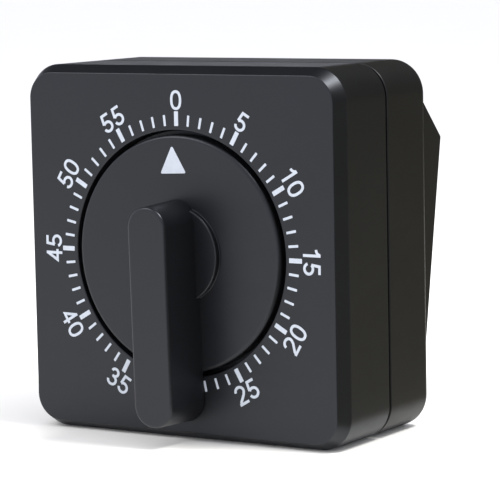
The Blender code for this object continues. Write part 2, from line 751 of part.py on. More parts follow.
def build_plates():
    """The two plates, their pillars and the screws that hold them."""
    pivots = [SECOND_AT, THIRD_AT, ESCAPE_AT, PALLET_AT, BALANCE_AT]
    pivot_holes = [circle(ARBOR_THIN_R - 0.2 + FIT, 10, p) for p in pivots]
    centre_hole = circle(ARBOR_R + RUNNING, 20)
    studs = [circle(PILLAR_STUD_R + FIT, 12, p) for p in PILLAR_PLACES]
    mounts = [circle(MOUNT_SCREW_R + FIT, 12, p) for p in MOUNT_SCREWS]
    plate("front_plate",
          [cut_square(FRONT_PLATE_HALF, FRONT_PLATE_CUT), centre_hole] + pivot_holes + studs
          + mounts, FRONT_PLATE_D, PLATE_THICK, "steel")
    screw_holes = [circle(PILLAR_SCREW_R + FIT, 12, p) for p in PILLAR_PLACES]
    posts = [circle(BELL_STUD_R + FIT, 12, (0.0, BELL_Z)),
             circle(HAMMER_PIN_R - 0.2 + FIT, 10, HAMMER_AT)]
    plate("rear_plate",
          [cut_square(REAR_PLATE_HALF, PLATE_CUT), centre_hole] + pivot_holes + screw_holes
          + posts, REAR_PLATE_D, PLATE_THICK, "steel")
    for k, at in enumerate(PILLAR_PLACES, 1):
        rear = REAR_PLATE_D - FIT
        shoulder = INSIDE_FRONT_PLATE + FIT
        bore_r = PILLAR_SCREW_R + FIT
        profile = [(0.0, rear - 5.0), (bore_r, rear - 5.0), (bore_r, rear), (PILLAR_R, rear),
                   (PILLAR_R, shoulder), (PILLAR_STUD_R, shoulder),
                   (PILLAR_STUD_R, FRONT_PLATE_D), (0.0, FRONT_PLATE_D)]
        turned(f"pillar_{k}", profile, "brass", at, 14)
        screw(f"pillar_screw_{k}", at, BEHIND_REAR_PLATE, rear - 4.0, PILLAR_SCREW_R,
              PILLAR_HEAD_R, 1.0, 12)
    for k, at in enumerate(MOUNT_SCREWS, 1):
        screw(f"movement_screw_{k}", at, INSIDE_FRONT_PLATE, MOUNT_HOLE_D + 0.6,
              MOUNT_SCREW_R, MOUNT_HEAD_R, MOUNT_HEAD_H, 14)


def build_winding():
    """What turns with the knob: arbor, main wheel, ratchet, click parts and cam."""
    cam_rear = CAM_D + CAM_THICK
    arbor_front = 1.0 + FIT
    shaft = turned("winding_arbor",
                   [(0.0, cam_rear + 0.6), (ARBOR_R, cam_rear + 0.6), (ARBOR_R, arbor_front),
                    (0.0, arbor_front)], "steel", steps=20)
    reach = 2.0 * ARBOR_R
    above = [(-reach, 0.0), (reach, 0.0), (reach, reach), (-reach, reach)]
    boolean(shaft, prism_cutter("arbor_flat", above, -1.0, FRONT_PLATE_D - FIT,
                                at=(0.0, ARBOR_FLAT)))
    bore = circle(ARBOR_R + FIT, 20)
    pin_at = polar(MAIN_AT, 8.9, math.radians(75.0))
    plate("main_wheel",
          [gear_outline(MAIN_TEETH, MAIN_MODULE, TO_SECOND, True, 2), bore,
           circle(0.5 + FIT, 10, pin_at)]
          + [circle(1.9, 14, polar(MAIN_AT, 9.4, math.radians(a))) for a in (165, 225, 285)],
          MAIN_D, MAIN_THICK, "brass")
    plate("ratchet_wheel", [ratchet_outline(), bore], RATCHET_D, RATCHET_THICK, "steel")
    notch = arc((0.0, 0.0), CAM_R, math.radians(-5.0), math.radians(325.0), 26)
    notch += [polar(MAIN_AT, CAM_R - CAM_NOTCH, math.radians(a)) for a in (330.0, 350.0)]
    plate("alarm_cam", [notch, bore], CAM_D, CAM_THICK, "steel")

    turned("click_rivet",
           [(0.0, RATCHET_D + RATCHET_THICK + 0.25), (0.5, RATCHET_D + RATCHET_THICK + 0.25),
            (0.5, MAIN_D), (0.0, MAIN_D)], "steel", pin_at, 12)
    # the pawl's tip rests just outside the ratchet teeth
    tip = polar(MAIN_AT, RATCHET_R + FIT, math.radians(38.0))
    heel = (pin_at[0], pin_at[1])
    body = [polar(heel, 1.7, math.radians(a)) for a in (20, 60, 100, 140, 180, 220, 250)]
    pawl = [(x - heel[0], z - heel[1]) for x, z in
            body + [tip, polar(tip, 1.3, math.radians(50.0))]]
    plate("click", [pawl, circle(0.5 + FIT, 10)], RATCHET_D, RATCHET_THICK, "steel", heel)
    spring_line = [polar(MAIN_AT, 11.6, math.radians(a)) for a in (105, 92, 79, 66, 53)]
    plate("click_spring", [strip_outline(spring_line, 0.15)], RATCHET_D, RATCHET_THICK,
          "blued_steel")
    line = spiral(SPRING_IN_R, SPRING_OUT_R, SPRING_TURNS, math.radians(112.0), 15)
    pillar = PILLAR_PLACES[0]
    line.append(polar(pillar, PILLAR_R + 0.8, math.radians(62.0)))
    line.append(polar(pillar, PILLAR_R + 0.6, math.radians(115.0)))
    plate("mainspring", [strip_outline(line, SPRING_STRIP / 2.0)], SPRING_D, SPRING_WIDTH,
          "blued_steel")


def build_train():
    """Second, third and escape arbors."""
    back = math.pi
    mesh_shift = (PINION_THICK - WHEEL_THICK) / 2.0
    geared_arbor("second", SECOND_AT, TO_SECOND + back, TO_THIRD,
                 MAIN_D - (PINION_THICK - MAIN_THICK) / 2.0, MAIN_MODULE,
                 (SECOND_TEETH, SECOND_MODULE, SECOND_WHEEL_D, 1.9))
    geared_arbor("third", THIRD_AT, TO_THIRD + back, TO_ESCAPE,
                 SECOND_WHEEL_D - mesh_shift, SECOND_MODULE,
                 (THIRD_TEETH, THIRD_MODULE, THIRD_WHEEL_D, 1.7))
    arbor("escape_arbor", ESCAPE_AT)
    bore = circle(ARBOR_THIN_R + FIT, 12)
    plate("escape_pinion",
          [gear_outline(PINION_TEETH, THIRD_MODULE, TO_ESCAPE + back, False, 3), bore],
          THIRD_WHEEL_D - mesh_shift, PINION_THICK - 0.3, "steel", ESCAPE_AT)
    plate("escape_wheel", [escape_outline(), bore], ESCAPE_WHEEL_D, WHEEL_THICK, "brass",
          ESCAPE_AT)


def build_escapement():
    """Pallet lever, balance and hairspring."""
    arbor("pallet_arbor", PALLET_AT)
    towards = TO_PALLET + math.pi
    reach = PALLET_REACH
    clear_r = ESCAPE_R + PALLET_CLEAR
    wheel_from_pallet = polar((0.0, 0.0), reach, towards)
    jaws = []
    for side in (1.0, -1.0):
        angle = TO_PALLET + side * math.radians(38.0)
        jaws.append(polar(wheel_from_pallet, clear_r, angle))
    outward = [polar(wheel_from_pallet, clear_r + 0.9, TO_PALLET + s * math.radians(38.0))
               for s in (1.0, -1.0)]
    inner = polar(wheel_from_pallet, clear_r + 0.3, TO_PALLET)
    fork = TO_BALANCE
    stem = [polar(polar((0.0, 0.0), 4.6, fork), 0.5, fork + math.pi / 2.0),
            polar(polar((0.0, 0.0), 4.6, fork), 0.5, fork - math.pi / 2.0)]
    hub = [polar((0.0, 0.0), 1.5, fork + math.radians(a)) for a in (60.0, -60.0)]
    outline = [stem[1], stem[0], hub[0], outward[0], jaws[0],
               polar(inner, 0.6, towards + math.pi + math.radians(90.0)),
               polar(inner, 0.6, towards + math.pi - math.radians(90.0)),
               jaws[1], outward[1], hub[1]]
    bore = circle(ARBOR_THIN_R + 0.2, 10)
    plate("pallet_lever", [outline, bore], ESCAPE_WHEEL_D, WHEEL_THICK, "steel", PALLET_AT)

    arbor("balance_staff", BALANCE_AT)
    staff_bore = circle(ARBOR_THIN_R + FIT, 12)
    inner_r = BALANCE_R - BALANCE_RIM
    gaps = []
    for start in (0.0, math.pi):
        outer = arc((0.0, 0.0), inner_r, start + 0.16, start + math.pi - 0.16, 14)
        near = arc((0.0, 0.0), 1.9, start + math.pi - 0.45, start + 0.45, 8)
        gaps.append(outer + near)
    plate("balance_wheel", [circle(BALANCE_R, 36), staff_bore] + gaps, BALANCE_D,
          BALANCE_THICK, "brass", BALANCE_AT)
    coil = spiral(ARBOR_THIN_R + 0.5, HAIRSPRING_OUT_R, HAIRSPRING_TURNS, 0.6, 12)
    plate("hairspring", [strip_outline(coil, HAIRSPRING_WIRE_R)], HAIRSPRING_D, 0.5,
          "blued_steel", BALANCE_AT)


def build_bell():
    """Bell, post and screw, and the hammer with its pin and spring."""
    bell_at = (0.0, BELL_Z)
    hole_r = BELL_STUD_R + FIT
    outer, inner = [], []
    for k in range(7):
        angle = math.pi / 2.0 * k / 6.0
        radius = max(BELL_R * math.sin(angle), hole_r)
        outer.append((radius, BELL_D + BELL_HEIGHT * math.cos(angle)))
        radius = max((BELL_R - BELL_WALL) * math.sin(angle), hole_r)
        inner.append((radius, BELL_D + (BELL_HEIGHT - BELL_WALL) * math.cos(angle)))
    turned("bell", outer + inner[::-1], "bell_steel", bell_at, 28)
    seat = BELL_D + BELL_HEIGHT - BELL_WALL - FIT
    front = BEHIND_REAR_PLATE + FIT
    turned("bell_post",
           [(0.0, seat - 3.0), (BELL_STUD_R, seat - 3.0), (BELL_STUD_R, seat),
            (BELL_POST_R, seat), (BELL_POST_R, front), (BELL_STUD_R, front),
            (BELL_STUD_R, REAR_PLATE_D - 0.4), (0.0, REAR_PLATE_D - 0.4)],
           "steel", bell_at, 14)
    screw("bell_screw", bell_at, BELL_D + BELL_HEIGHT, seat - 2.4,
          BELL_STUD_R - FIT, BELL_HEAD_R, 1.0, 14)

    head = (HAMMER_HEAD_AT[0] - HAMMER_AT[0], HAMMER_HEAD_AT[1] - HAMMER_AT[1])
    finger = (HAMMER_FINGER_AT[0] - HAMMER_AT[0], HAMMER_FINGER_AT[1] - HAMMER_AT[1])
    to_head = math.atan2(head[1], head[0])
    to_finger = math.atan2(finger[1], finger[0])
    quarter = math.pi / 2.0
    lever = [polar(head, HAMMER_ARM, to_head - quarter + a) for a in
             (0.0, quarter / 2.0, quarter, 1.5 * quarter, 2.0 * quarter)]
    lever += [polar((0.0, 0.0), 2.2, (to_head + to_finger) / 2.0)]
    lever += [polar(finger, HAMMER_ARM * 0.6, to_finger - quarter + a) for a in
              (0.0, quarter, 2.0 * quarter)]
    lever += [polar((0.0, 0.0), 2.0, to_finger + quarter * 1.3),
              polar((0.0, 0.0), 2.0, to_head - quarter * 1.6),
              polar((0.0, 0.0), 2.0, to_head - quarter * 0.9)]
    plate("hammer_lever",
          [lever, circle(HAMMER_PIN_R + FIT, 12), circle(0.6 + 0.2, 10, head)],
          CAM_D, HAMMER_THICK, "steel", HAMMER_AT)
    lever_rear = CAM_D + HAMMER_THICK
    turned("hammer_head",
           [(0.0, lever_rear + HAMMER_HEAD_H), (HAMMER_HEAD_R, lever_rear + HAMMER_HEAD_H),
            (HAMMER_HEAD_R, lever_rear + FIT), (0.6, lever_rear + FIT),
            (0.6, CAM_D), (0.0, CAM_D)], "brass", HAMMER_HEAD_AT, 16)
    turned("hammer_pin",
           [(0.0, lever_rear + 1.0), (1.6, lever_rear + 1.0), (1.6, lever_rear + FIT),
            (HAMMER_PIN_R, lever_rear + FIT), (HAMMER_PIN_R, BEHIND_REAR_PLATE + FIT),
            (HAMMER_PIN_R - 0.2, BEHIND_REAR_PLATE + FIT),
            (HAMMER_PIN_R - 0.2, REAR_PLATE_D), (0.0, REAR_PLATE_D)],
           "steel", HAMMER_AT, 12)
    return bell_at


build_front_shell()
build_rear_shell()
for number, place_at in enumerate(CASE_SCREWS, 1):
    screw(f"case_screw_{number}", place_at, SEAT_DEPTH, SCREW_TIP, CASE_SCREW_R,
          CASE_HEAD_R, CASE_HEAD_H)
build_knob()
build_plates()
build_winding()
build_train()
build_escapement()
build_bell()
for made in list(PARTS.objects):
    if made.type == "MESH" and not any(m.type == "SCREW" for m in made.modifiers):
        smooth(made)
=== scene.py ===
"""A 60-minute mechanical kitchen timer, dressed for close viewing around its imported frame.

Shapes are worked out in dial coordinates, in millimetres: x to the right seen from the
front, depth behind the face, z up from the dial's centre. A Dial carries them to the
frame. Each moulding is a surface on a grid of two parameters: one runs around the outline,
the other along a profile whose corners are rounded.
"""

from __future__ import annotations

import logging
import math
from dataclasses import dataclass, field
from enum import Enum
from typing import Optional, Sequence

import bpy
import numpy as np
from mathutils import Matrix, Vector


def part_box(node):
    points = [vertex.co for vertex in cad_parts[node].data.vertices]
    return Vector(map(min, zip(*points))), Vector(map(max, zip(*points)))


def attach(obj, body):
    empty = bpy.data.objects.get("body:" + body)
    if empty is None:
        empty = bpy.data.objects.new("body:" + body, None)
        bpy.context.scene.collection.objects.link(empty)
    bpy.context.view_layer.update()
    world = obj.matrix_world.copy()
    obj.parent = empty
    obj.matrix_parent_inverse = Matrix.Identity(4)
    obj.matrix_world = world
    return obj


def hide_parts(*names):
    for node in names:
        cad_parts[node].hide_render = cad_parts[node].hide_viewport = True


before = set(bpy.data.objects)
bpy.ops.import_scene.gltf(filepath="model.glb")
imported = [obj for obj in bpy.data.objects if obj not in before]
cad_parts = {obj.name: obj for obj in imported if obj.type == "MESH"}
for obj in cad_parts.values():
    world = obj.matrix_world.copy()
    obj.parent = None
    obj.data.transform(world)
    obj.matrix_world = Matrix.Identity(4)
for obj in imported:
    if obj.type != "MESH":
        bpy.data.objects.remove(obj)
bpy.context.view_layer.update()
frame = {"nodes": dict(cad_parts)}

MM = 0.001
LOG = logging.getLogger("kitchen_timer")
Array = np.ndarray
Colour = tuple[float, float, float]
Corner = tuple[float, float, float]
Vec3 = tuple[float, float, float]
Place = tuple[float, float]

# millimetres
NEAR_AXIS = 0.01     # radius at which a turned profile ends; a fan closes the rest
SUNK = 0.3           # how far a joined part reaches into the one that carries it
INK_PROUD = 0.03     # how far the print stands in front of its face
INK_SUNK = 0.02      # how far the print reaches behind it


class Body(str, Enum):
    """The moving bodies that new pieces ride on."""

    CASE = "case"
    KNOB = "knob"


class Slot(str, Enum):
    """Three finish names; no piece here takes them."""

    PLASTIC = "black_plastic"
    STEEL = "steel"
    BELL = "bell_steel"


# ------------------------------------------------------------------ surfaces

@dataclass(frozen=True)
class Dial:
    """Where the dial's centre lies in the frame, in metres."""

    face_y: float
    centre_z: float

    @classmethod
    def from_frame(cls) -> "Dial":
        """Read the face's plane and the dial's height from the front shell's box."""
        low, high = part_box("front_shell")
        return cls(low.y, (low.z + high.z) / 2.0)

    def place(self, points: Array) -> Array:
        """Carry (x, depth, z) points in millimetres to the frame, in metres."""
        return points * MM + np.array([0.0, self.face_y, self.centre_z])


@dataclass
class Surface:
    """A mesh as arrays: points in dial coordinates, four-sided and three-sided faces.

    wear is a number from 0 to 1 at every point, 1 on edges that hands polish.
    """

    points: Array
    quads: Array
    tris: Array
    wear: Array

    def volume(self) -> float:
        """Sum of the signed volumes of the tetrahedra from the origin to each triangle.

        Returns:
            The volume, positive if the faces point outwards.
        """
        corners = np.vstack([self.quads[:, [0, 1, 2]], self.quads[:, [0, 2, 3]], self.tris])
        a, b, c = (self.points[corners[:, k]] for k in range(3))
        return float(np.einsum("ij,ij->i", a, np.cross(b, c)).sum() / 6.0)

    def outward(self) -> "Surface":
        """Turn a closed surface so that its faces point outwards.

        Returns:
            The same surface, its faces reversed if its volume came out negative.
        """
        # depth runs away from the viewer, which makes (x, depth, z) right-handed
        if self.volume() < 0.0:
            self.quads = self.quads[:, ::-1]
            self.tris = self.tris[:, ::-1]
        return self

    def plus(self, other: "Surface") -> "Surface":
        """Put another surface beside this one in one mesh.

        Args:
            other: The surface to add; it shares no points with this one.

        Returns:
            One surface with the faces of both.
        """
        shift = len(self.points)
        return Surface(np.vstack([self.points, other.points]),
                       np.vstack([self.quads, other.quads + shift]),
                       np.vstack([self.tris, other.tris + shift]),
                       np.concatenate([self.wear, other.wear]))

    def turned(self, angle: float) -> "Surface":
        """Turn about the dial's axis.

        Args:
            angle: In radians; positive moves the top towards +x.

        Returns:
            The turned surface.
        """
        x, depth, z = self.points.T
        cos, sin = math.cos(angle), math.sin(angle)
        points = np.stack([x * cos + z * sin, depth, z * cos - x * sin], axis=1)
        return Surface(points, self.quads, self.tris, self.wear)

    def build(self, name: str, dial: Dial) -> bpy.types.Object:
        """Make a Blender object of the surface, its place in its mesh.

        Args:
            name: The object's name.
            dial: Carries the points to the frame.

        Returns:
            The linked object, shaded smooth with its corners kept sharp.
        """
        mesh = bpy.data.meshes.new(name)
        faces = self.quads.tolist() + self.tris.tolist()
        mesh.from_pydata(dial.place(self.points).tolist(), [], faces)
        layer = mesh.attributes.new("wear", "FLOAT", "POINT")
        layer.data.foreach_set("value", self.wear.astype(np.float32))
        mesh.update()
        made = bpy.data.objects.new(name, mesh)
        bpy.context.scene.collection.objects.link(made)
        shade(made)
        return made


def shade(piece: bpy.types.Object, degrees: float = 32.0) -> None:
    """Shade a mesh smooth and keep its corners sharp.

    Args:
        piece: The mesh object.
        degrees: Edges that turn by more than this stay sharp.
    """
    piece.data.shade_smooth()
    piece.data.set_sharp_from_angle(angle=math.radians(degrees))


def loft(rings: Array, wear: Optional[Array] = None, ring_closed: bool = False) -> Surface:
    """Skin a stack of closed rings.

    Point (i, j) is point j of ring i. Every quad joins (i, j), (i, j + 1), (i + 1, j + 1)
    and (i + 1, j), with j running round. The stack is closed on itself, or each end is
    closed by a fan about its ring's middle.

    Args:
        rings: Points as (ring, around, xyz).
        wear: One number for each ring.
        ring_closed: True if the last ring joins the first.

    Returns:
        A closed surface that faces outwards.
    """
    count, around = rings.shape[:2]
    wear = np.zeros(count) if wear is None else np.asarray(wear, float)
    points = rings.reshape(-1, 3)
    values = np.repeat(wear, around)
    i, j = np.meshgrid(np.arange(count if ring_closed else count - 1), np.arange(around),
                       indexing="ij")
    onward, beside = (i + 1) % count, (j + 1) % around
    quads = np.stack([i * around + j, i * around + beside, onward * around + beside,
                      onward * around + j], axis=-1).reshape(-1, 4)
    tris = np.zeros((0, 3), int)
    if not ring_closed:
        middles = np.stack([rings[0].mean(0), rings[-1].mean(0)])
        hub = len(points)
        points = np.vstack([points, middles])
        values = np.concatenate([values, wear[[0, -1]]])
        k = np.arange(around)
        beyond = (k + 1) % around
        last = (count - 1) * around
        tris = np.vstack([np.stack([np.full(around, hub), beyond, k], axis=1),
                          np.stack([np.full(around, hub + 1), last + k, last + beyond],
                                   axis=1)])
    return Surface(points, quads, tris, values).outward()


def rounded(corners: Sequence[Corner], steps: int = 6, guard: float = 0.05,
            closed: bool = False) -> tuple[Array, Array]:
    """Round the corners of a polyline.

    Each corner becomes an arc of its radius that touches both sides; the arc's points are
    centre + radius * (cos, sin) of evenly spaced directions. A guard point just outside
    each end of the arc keeps the flat sides flat when they are shaded.

    Args:
        corners: (first, second, radius) of every corner; an end's radius isn't used.
        steps: Segments in each arc.
        guard: Distance from an arc's end to its guard point.
        closed: True if the last corner joins the first.

    Returns:
        The points as (n, 2) and their wear, 1 along the arcs and 0 elsewhere.
    """
    spots = np.array(corners, float)
    count = len(spots)
    runs, wear = [], []
    for k in range(count):
        here, radius = spots[k, :2], spots[k, 2]
        if radius <= 0.0 or (not closed and k in (0, count - 1)):
            runs.append(here[None])
            wear.append(np.zeros(1))
            continue
        back = spots[k - 1, :2] - here
        on = spots[(k + 1) % count, :2] - here
        back, on = back / np.linalg.norm(back), on / np.linalg.norm(on)
        half = math.acos(float(np.clip(back @ on, -1.0, 1.0))) / 2.0
        reach = radius / math.tan(half)
        middle = here + (back + on) / np.linalg.norm(back + on) * radius / math.sin(half)
        first, last = here + back * reach - middle, here + on * reach - middle
        start = math.atan2(first[1], first[0])
        sweep = (math.atan2(last[1], last[0]) - start + math.pi) % (2.0 * math.pi) - math.pi
        angles = start + sweep * np.linspace(0.0, 1.0, steps + 1)
        bend = middle + radius * np.stack([np.cos(angles), np.sin(angles)], axis=1)
        runs.append(np.vstack([here + back * (reach + guard), bend, here + on * (reach + guard)]))
        wear.append(np.concatenate([[0.0], np.ones(steps + 1), [0.0]]))
    return np.vstack(runs), np.concatenate(wear)


@dataclass(frozen=True)
class Outline:
    """A rounded square and the circles inside it, with matching points.

    Each quarter has corner_steps points on the corner's arc and side_steps along the side.
    """

    half: float = 38.0
    corner: float = 7.0
    corner_steps: int = 24
    side_steps: int = 44

    @property
    def count(self) -> int:
        """Points around one ring."""
        return 4 * (self.corner_steps + self.side_steps)

    def square(self, inset: float) -> Array:
        """The outline drawn in by a distance, as (n, 2) points in (x, z).

        A corner's points are its centre plus (radius - inset) times (cos, sin); a side's
        points run evenly from one corner's last point to the next corner's first.

        Args:
            inset: How far inside the full outline.

        Returns:
            The ring's points, from the right side anticlockwise seen with x right, z up.
        """
        radius = max(self.corner - inset, 0.02)
        centre = self.half - inset - radius
        turn = np.linspace(0.0, math.pi / 2.0, self.corner_steps + 1)
        bend = np.stack([centre + radius * np.cos(turn), centre + radius * np.sin(turn)], axis=1)
        share = np.linspace(0.0, 1.0, self.side_steps + 1)[1:-1, None]
        quarters = []
        for k in range(4):
            cos, sin = round(math.cos(k * math.pi / 2.0)), round(math.sin(k * math.pi / 2.0))
            swing = np.array([[cos, sin], [-sin, cos]], float)
            here = bend @ swing
            after = bend[0] @ swing @ np.array([[0.0, 1.0], [-1.0, 0.0]])
            quarters += [here, here[-1] * (1.0 - share) + after * share]
        return np.vstack(quarters)

    def circle(self, radius: float) -> Array:
        """A circle with as many points, each one near the square's matching point.

        The points lie at evenly spaced angles, turned so that the middle of a corner's
        run falls on the diagonal.

        Args:
            radius: The circle's radius.

        Returns:
            The ring's points as (n, 2) in (x, z).
        """
        step = 2.0 * math.pi / self.count
        angles = math.pi / 4.0 + (np.arange(self.count) - self.corner_steps / 2.0) * step
        return radius * np.stack([np.cos(angles), np.sin(angles)], axis=1)


def four(across: float, up: float) -> list[Place]:
    """The four places at plus and minus two distances from the centre, in (x, z)."""
    return [(sx * across, sz * up) for sx in (-1.0, 1.0) for sz in (-1.0, 1.0)]


def ring(flat: Array, depth: float | Array) -> Array:
    """Lift (x, z) points to (x, depth, z)."""
    return np.stack([flat[:, 0], np.broadcast_to(depth, flat[:, 0].shape), flat[:, 1]], axis=1)


def turned_surface(profile: Array, wear: Array, at: Place = (0.0, 0.0),
                   steps: int = 128) -> Surface:
    """Turn a (radius, depth) profile about a line along the depth.

    Point (i, j) is at + radius_i * (cos, sin) of the angle 2 pi j / steps, at depth_i.

    Args:
        profile: The (radius, depth) points, each end near the axis.
        wear: One number for each profile point.
        at: The axis in (x, z).
        steps: Points around.

    Returns:
        A closed surface of revolution.
    """
    angles = 2.0 * math.pi * np.arange(steps) / steps
    radius = profile[:, 0][:, None]
    rings = np.stack([at[0] + radius * np.cos(angles),
                      np.broadcast_to(profile[:, 1][:, None], (len(profile), steps)),
                      at[1] + radius * np.sin(angles)], axis=-1)
    return loft(rings, wear)


def prism(flat: Array, front: float | Array, rear: float | Array) -> Surface:
    """A closed piece between two copies of an (x, z) outline at two depths."""
    return loft(np.stack([ring(flat, front), ring(flat, rear)]))


def stadium(half: float, up: float, down: float, steps: int = 24) -> Array:
    """An upright bar with two round ends.

    Args:
        half: Half the bar's width, and the radius of its ends.
        up: Reach above the origin.
        down: Reach below the origin.
        steps: Segments in each end.

    Returns:
        The outline as (n, 2) in (x, z).
    """
    top = np.linspace(0.0, math.pi, steps + 1)
    low = np.linspace(math.pi, 2.0 * math.pi, steps + 1)
    return np.vstack([np.stack([half * np.cos(top), up - half + half * np.sin(top)], axis=1),
                      np.stack([half * np.cos(low), half - down + half * np.sin(low)], axis=1)])


class Combine(str, Enum):
    """How a second solid changes a first."""

    JOIN = "UNION"
    CUT = "DIFFERENCE"


def combine(base: bpy.types.Object, steps: Sequence[tuple[Combine, bpy.types.Object]]) -> None:
    """Join and cut solids, and keep the result as the base's own mesh.

    Args:
        base: The object to change.
        steps: What to do with each other solid, in order; those solids are used up.
    """
    for how, other in steps:
        change = base.modifiers.new(other.name, "BOOLEAN")
        change.operation = how.value
        change.solver = "MANIFOLD"
        change.object = other
    bpy.context.view_layer.update()
    graph = bpy.context.evaluated_depsgraph_get()
    mesh = bpy.data.meshes.new_from_object(base.evaluated_get(graph))
    base.modifiers.clear()
    worn_out = base.data
    base.data = mesh
    bpy.data.meshes.remove(worn_out)
    mesh.name = base.name
    for _, other in steps:
        bpy.data.objects.remove(other, do_unlink=True)
    shade(base)


def even_shading(piece: bpy.types.Object) -> None:
    """Let large flat faces set the shading of the edges around them.

    Args:
        piece: The mesh object.
    """
    step = piece.modifiers.new("even_shading", "WEIGHTED_NORMAL")
    step.keep_sharp = True
    step.weight = 80


# ------------------------------------------------------------------ finishes

class Nodes:
    """Adds nodes to a new material and wires them."""

    def __init__(self, name: str) -> None:
        """Start a material with only its output and a Principled shader.

        Args:
            name: The material's name.
        """
        self.material = bpy.data.materials.new(name)
        self.material.use_nodes = True
        self.tree = self.material.node_tree
        self.shader = self.tree.nodes["Principled BSDF"]

    def add(self, kind: str, inputs: dict[str | int, object],
            **settings: object) -> bpy.types.Node:
        """Add a node.

        Args:
            kind: The node's type name.
            inputs: A value, or another node's output socket, for each input.
            **settings: Properties of the node itself.

        Returns:
            The node.
        """
        node = self.tree.nodes.new(kind)
        for key, value in settings.items():
            setattr(node, key, value)
        for key, value in inputs.items():
            self.wire(node.inputs[key], value)
        return node

    def wire(self, socket: bpy.types.NodeSocket, value: object) -> None:
        """Link an output socket to an input, or set the input's value.

        Args:
            socket: The input.
            value: An output socket, or a plain value.
        """
        if isinstance(value, bpy.types.NodeSocket):
            self.tree.links.new(value, socket)
        else:
            socket.default_value = value

    def place(self) -> bpy.types.NodeSocket:
        """Object coordinates, in metres."""
        return self.add("ShaderNodeTexCoord", {}).outputs["Object"]

    def noise(self, size_mm: float, detail: float = 2.0,
              vector: Optional[bpy.types.NodeSocket] = None) -> bpy.types.NodeSocket:
        """A noise from 0 to 1 whose features have a given size.

        Args:
            size_mm: Size of the features in millimetres.
            detail: How many finer layers it has.
            vector: Coordinates in metres, or the piece's own.

        Returns:
            The noise's factor.
        """
        node = self.add("ShaderNodeTexNoise",
                        {"Vector": vector or self.place(), "Scale": 1.0 / (size_mm * MM),
                         "Detail": detail, "Roughness": 0.55})
        return node.outputs["Fac"]

    def spread(self, value: bpy.types.NodeSocket, low: float, high: float,
               start: float = 0.0, end: float = 1.0) -> bpy.types.NodeSocket:
        """Map a value's range from start to end onto low to high, and clamp it.

        Args:
            value: The number to map.
            low: What start becomes.
            high: What end becomes.
            start: Where the range begins.
            end: Where it ends.

        Returns:
            The mapped number.
        """
        node = self.add("ShaderNodeMapRange",
                        {"Value": value, "From Min": start, "From Max": end,
                         "To Min": low, "To Max": high})
        return node.outputs["Result"]

    def blend(self, factor: object, first: object, second: object) -> bpy.types.NodeSocket:
        """Mix two colours by a factor."""
        node = self.add("ShaderNodeMix", {0: factor, 6: first, 7: second}, data_type="RGBA")
        return node.outputs[2]

    def sum(self, first: object, second: object) -> bpy.types.NodeSocket:
        """Add two numbers."""
        return self.add("ShaderNodeMath", {0: first, 1: second}, operation="ADD").outputs[0]

    def bump(self, height: bpy.types.NodeSocket, depth_mm: float,
             strength: float) -> bpy.types.NodeSocket:
        """Turn a height into a normal."""
        inputs = {"Height": height, "Distance": depth_mm * MM, "Strength": strength}
        return self.add("ShaderNodeBump", inputs).outputs["Normal"]

    def finish(self, **inputs: object) -> bpy.types.Material:
        """Set the shader's inputs.

        Args:
            **inputs: A value or a socket for each input, underscores standing for spaces.

        Returns:
            The material.
        """
        for key, value in inputs.items():
            self.wire(self.shader.inputs[key.replace("_", " ")], value)
        return self.material


def rgba(colour: Colour, gain: float = 1.0) -> tuple[float, float, float, float]:
    """A colour with full opacity, brightened by a gain."""
    return colour[0] * gain, colour[1] * gain, colour[2] * gain, 1.0


@dataclass(frozen=True)
class MouldedPlastic:
    """Satin black moulding: a fine spark-eroded grain, handling marks, polished edges."""

    colour: Colour = (0.0048, 0.0050, 0.0060)
    worn_gain: float = 1.9
    roughness: float = 0.40
    wipe_change: float = 0.025
    grain_change: float = 0.03
    polish: float = 0.09
    drift_mm: float = 38.0
    wipe_mm: float = 7.0
    wipe_stretch: Vec3 = (1.0, 1.0, 2.4)
    wipe_turn: Vec3 = (0.5, 0.9, 0.2)
    grain_mm: float = 0.22
    grain_depth_mm: float = 0.006
    specular: float = 0.42
    # painted reflection colour: tints the gloss cool on the front and the knob; the rear
    # moulding's is nearly neutral
    gloss_tint: Colour = (0.88, 0.92, 1.0)

    def make(self, name: str) -> bpy.types.Material:
        """Make the material.

        Args:
            name: The material's name.

        Returns:
            A material whose colour drifts slowly over the moulding, whose roughness varies
            with the grain and with faint wipe marks, whose edges are smoother, and whose
            gloss carries a painted reflection tint.
        """
        nodes = Nodes(name)
        here = nodes.place()
        drift = nodes.noise(self.drift_mm, 3.0, here)
        wipe_place = nodes.add("ShaderNodeMapping", {"Vector": here, "Scale": self.wipe_stretch,
                                                     "Rotation": self.wipe_turn})
        wipes = nodes.noise(self.wipe_mm, 5.0, wipe_place.outputs[0])
        grain = nodes.noise(self.grain_mm, 2.5, here)
        wear = nodes.add("ShaderNodeAttribute", {}, attribute_name="wear").outputs["Fac"]
        share = nodes.spread(wipes, 0.25, 1.0, 0.3, 0.7)
        patchy = nodes.add("ShaderNodeMath", {0: wear, 1: share}, operation="MULTIPLY").outputs[0]
        tone = nodes.blend(nodes.spread(drift, 0.0, 1.0, 0.3, 0.7), rgba(self.colour, 0.86),
                           rgba(self.colour, 1.16))
        tone = nodes.blend(nodes.spread(patchy, 0.0, 0.55), tone,
                           rgba(self.colour, self.worn_gain))
        rough = nodes.spread(wipes, self.roughness - self.wipe_change,
                             self.roughness + self.wipe_change, 0.3, 0.7)
        rough = nodes.sum(rough, nodes.spread(grain, -self.grain_change, self.grain_change,
                                              0.2, 0.8))
        rough = nodes.sum(rough, nodes.spread(patchy, 0.0, -self.polish))
        normal = nodes.bump(grain, self.grain_depth_mm, 0.35)
        # the gloss takes the painted reflection tint, a colour of the light rather than of the
        # plastic
        return nodes.finish(Base_Color=tone, Roughness=rough, Normal=normal,
                            Specular_IOR_Level=self.specular,
                            Specular_Tint=rgba(self.gloss_tint))


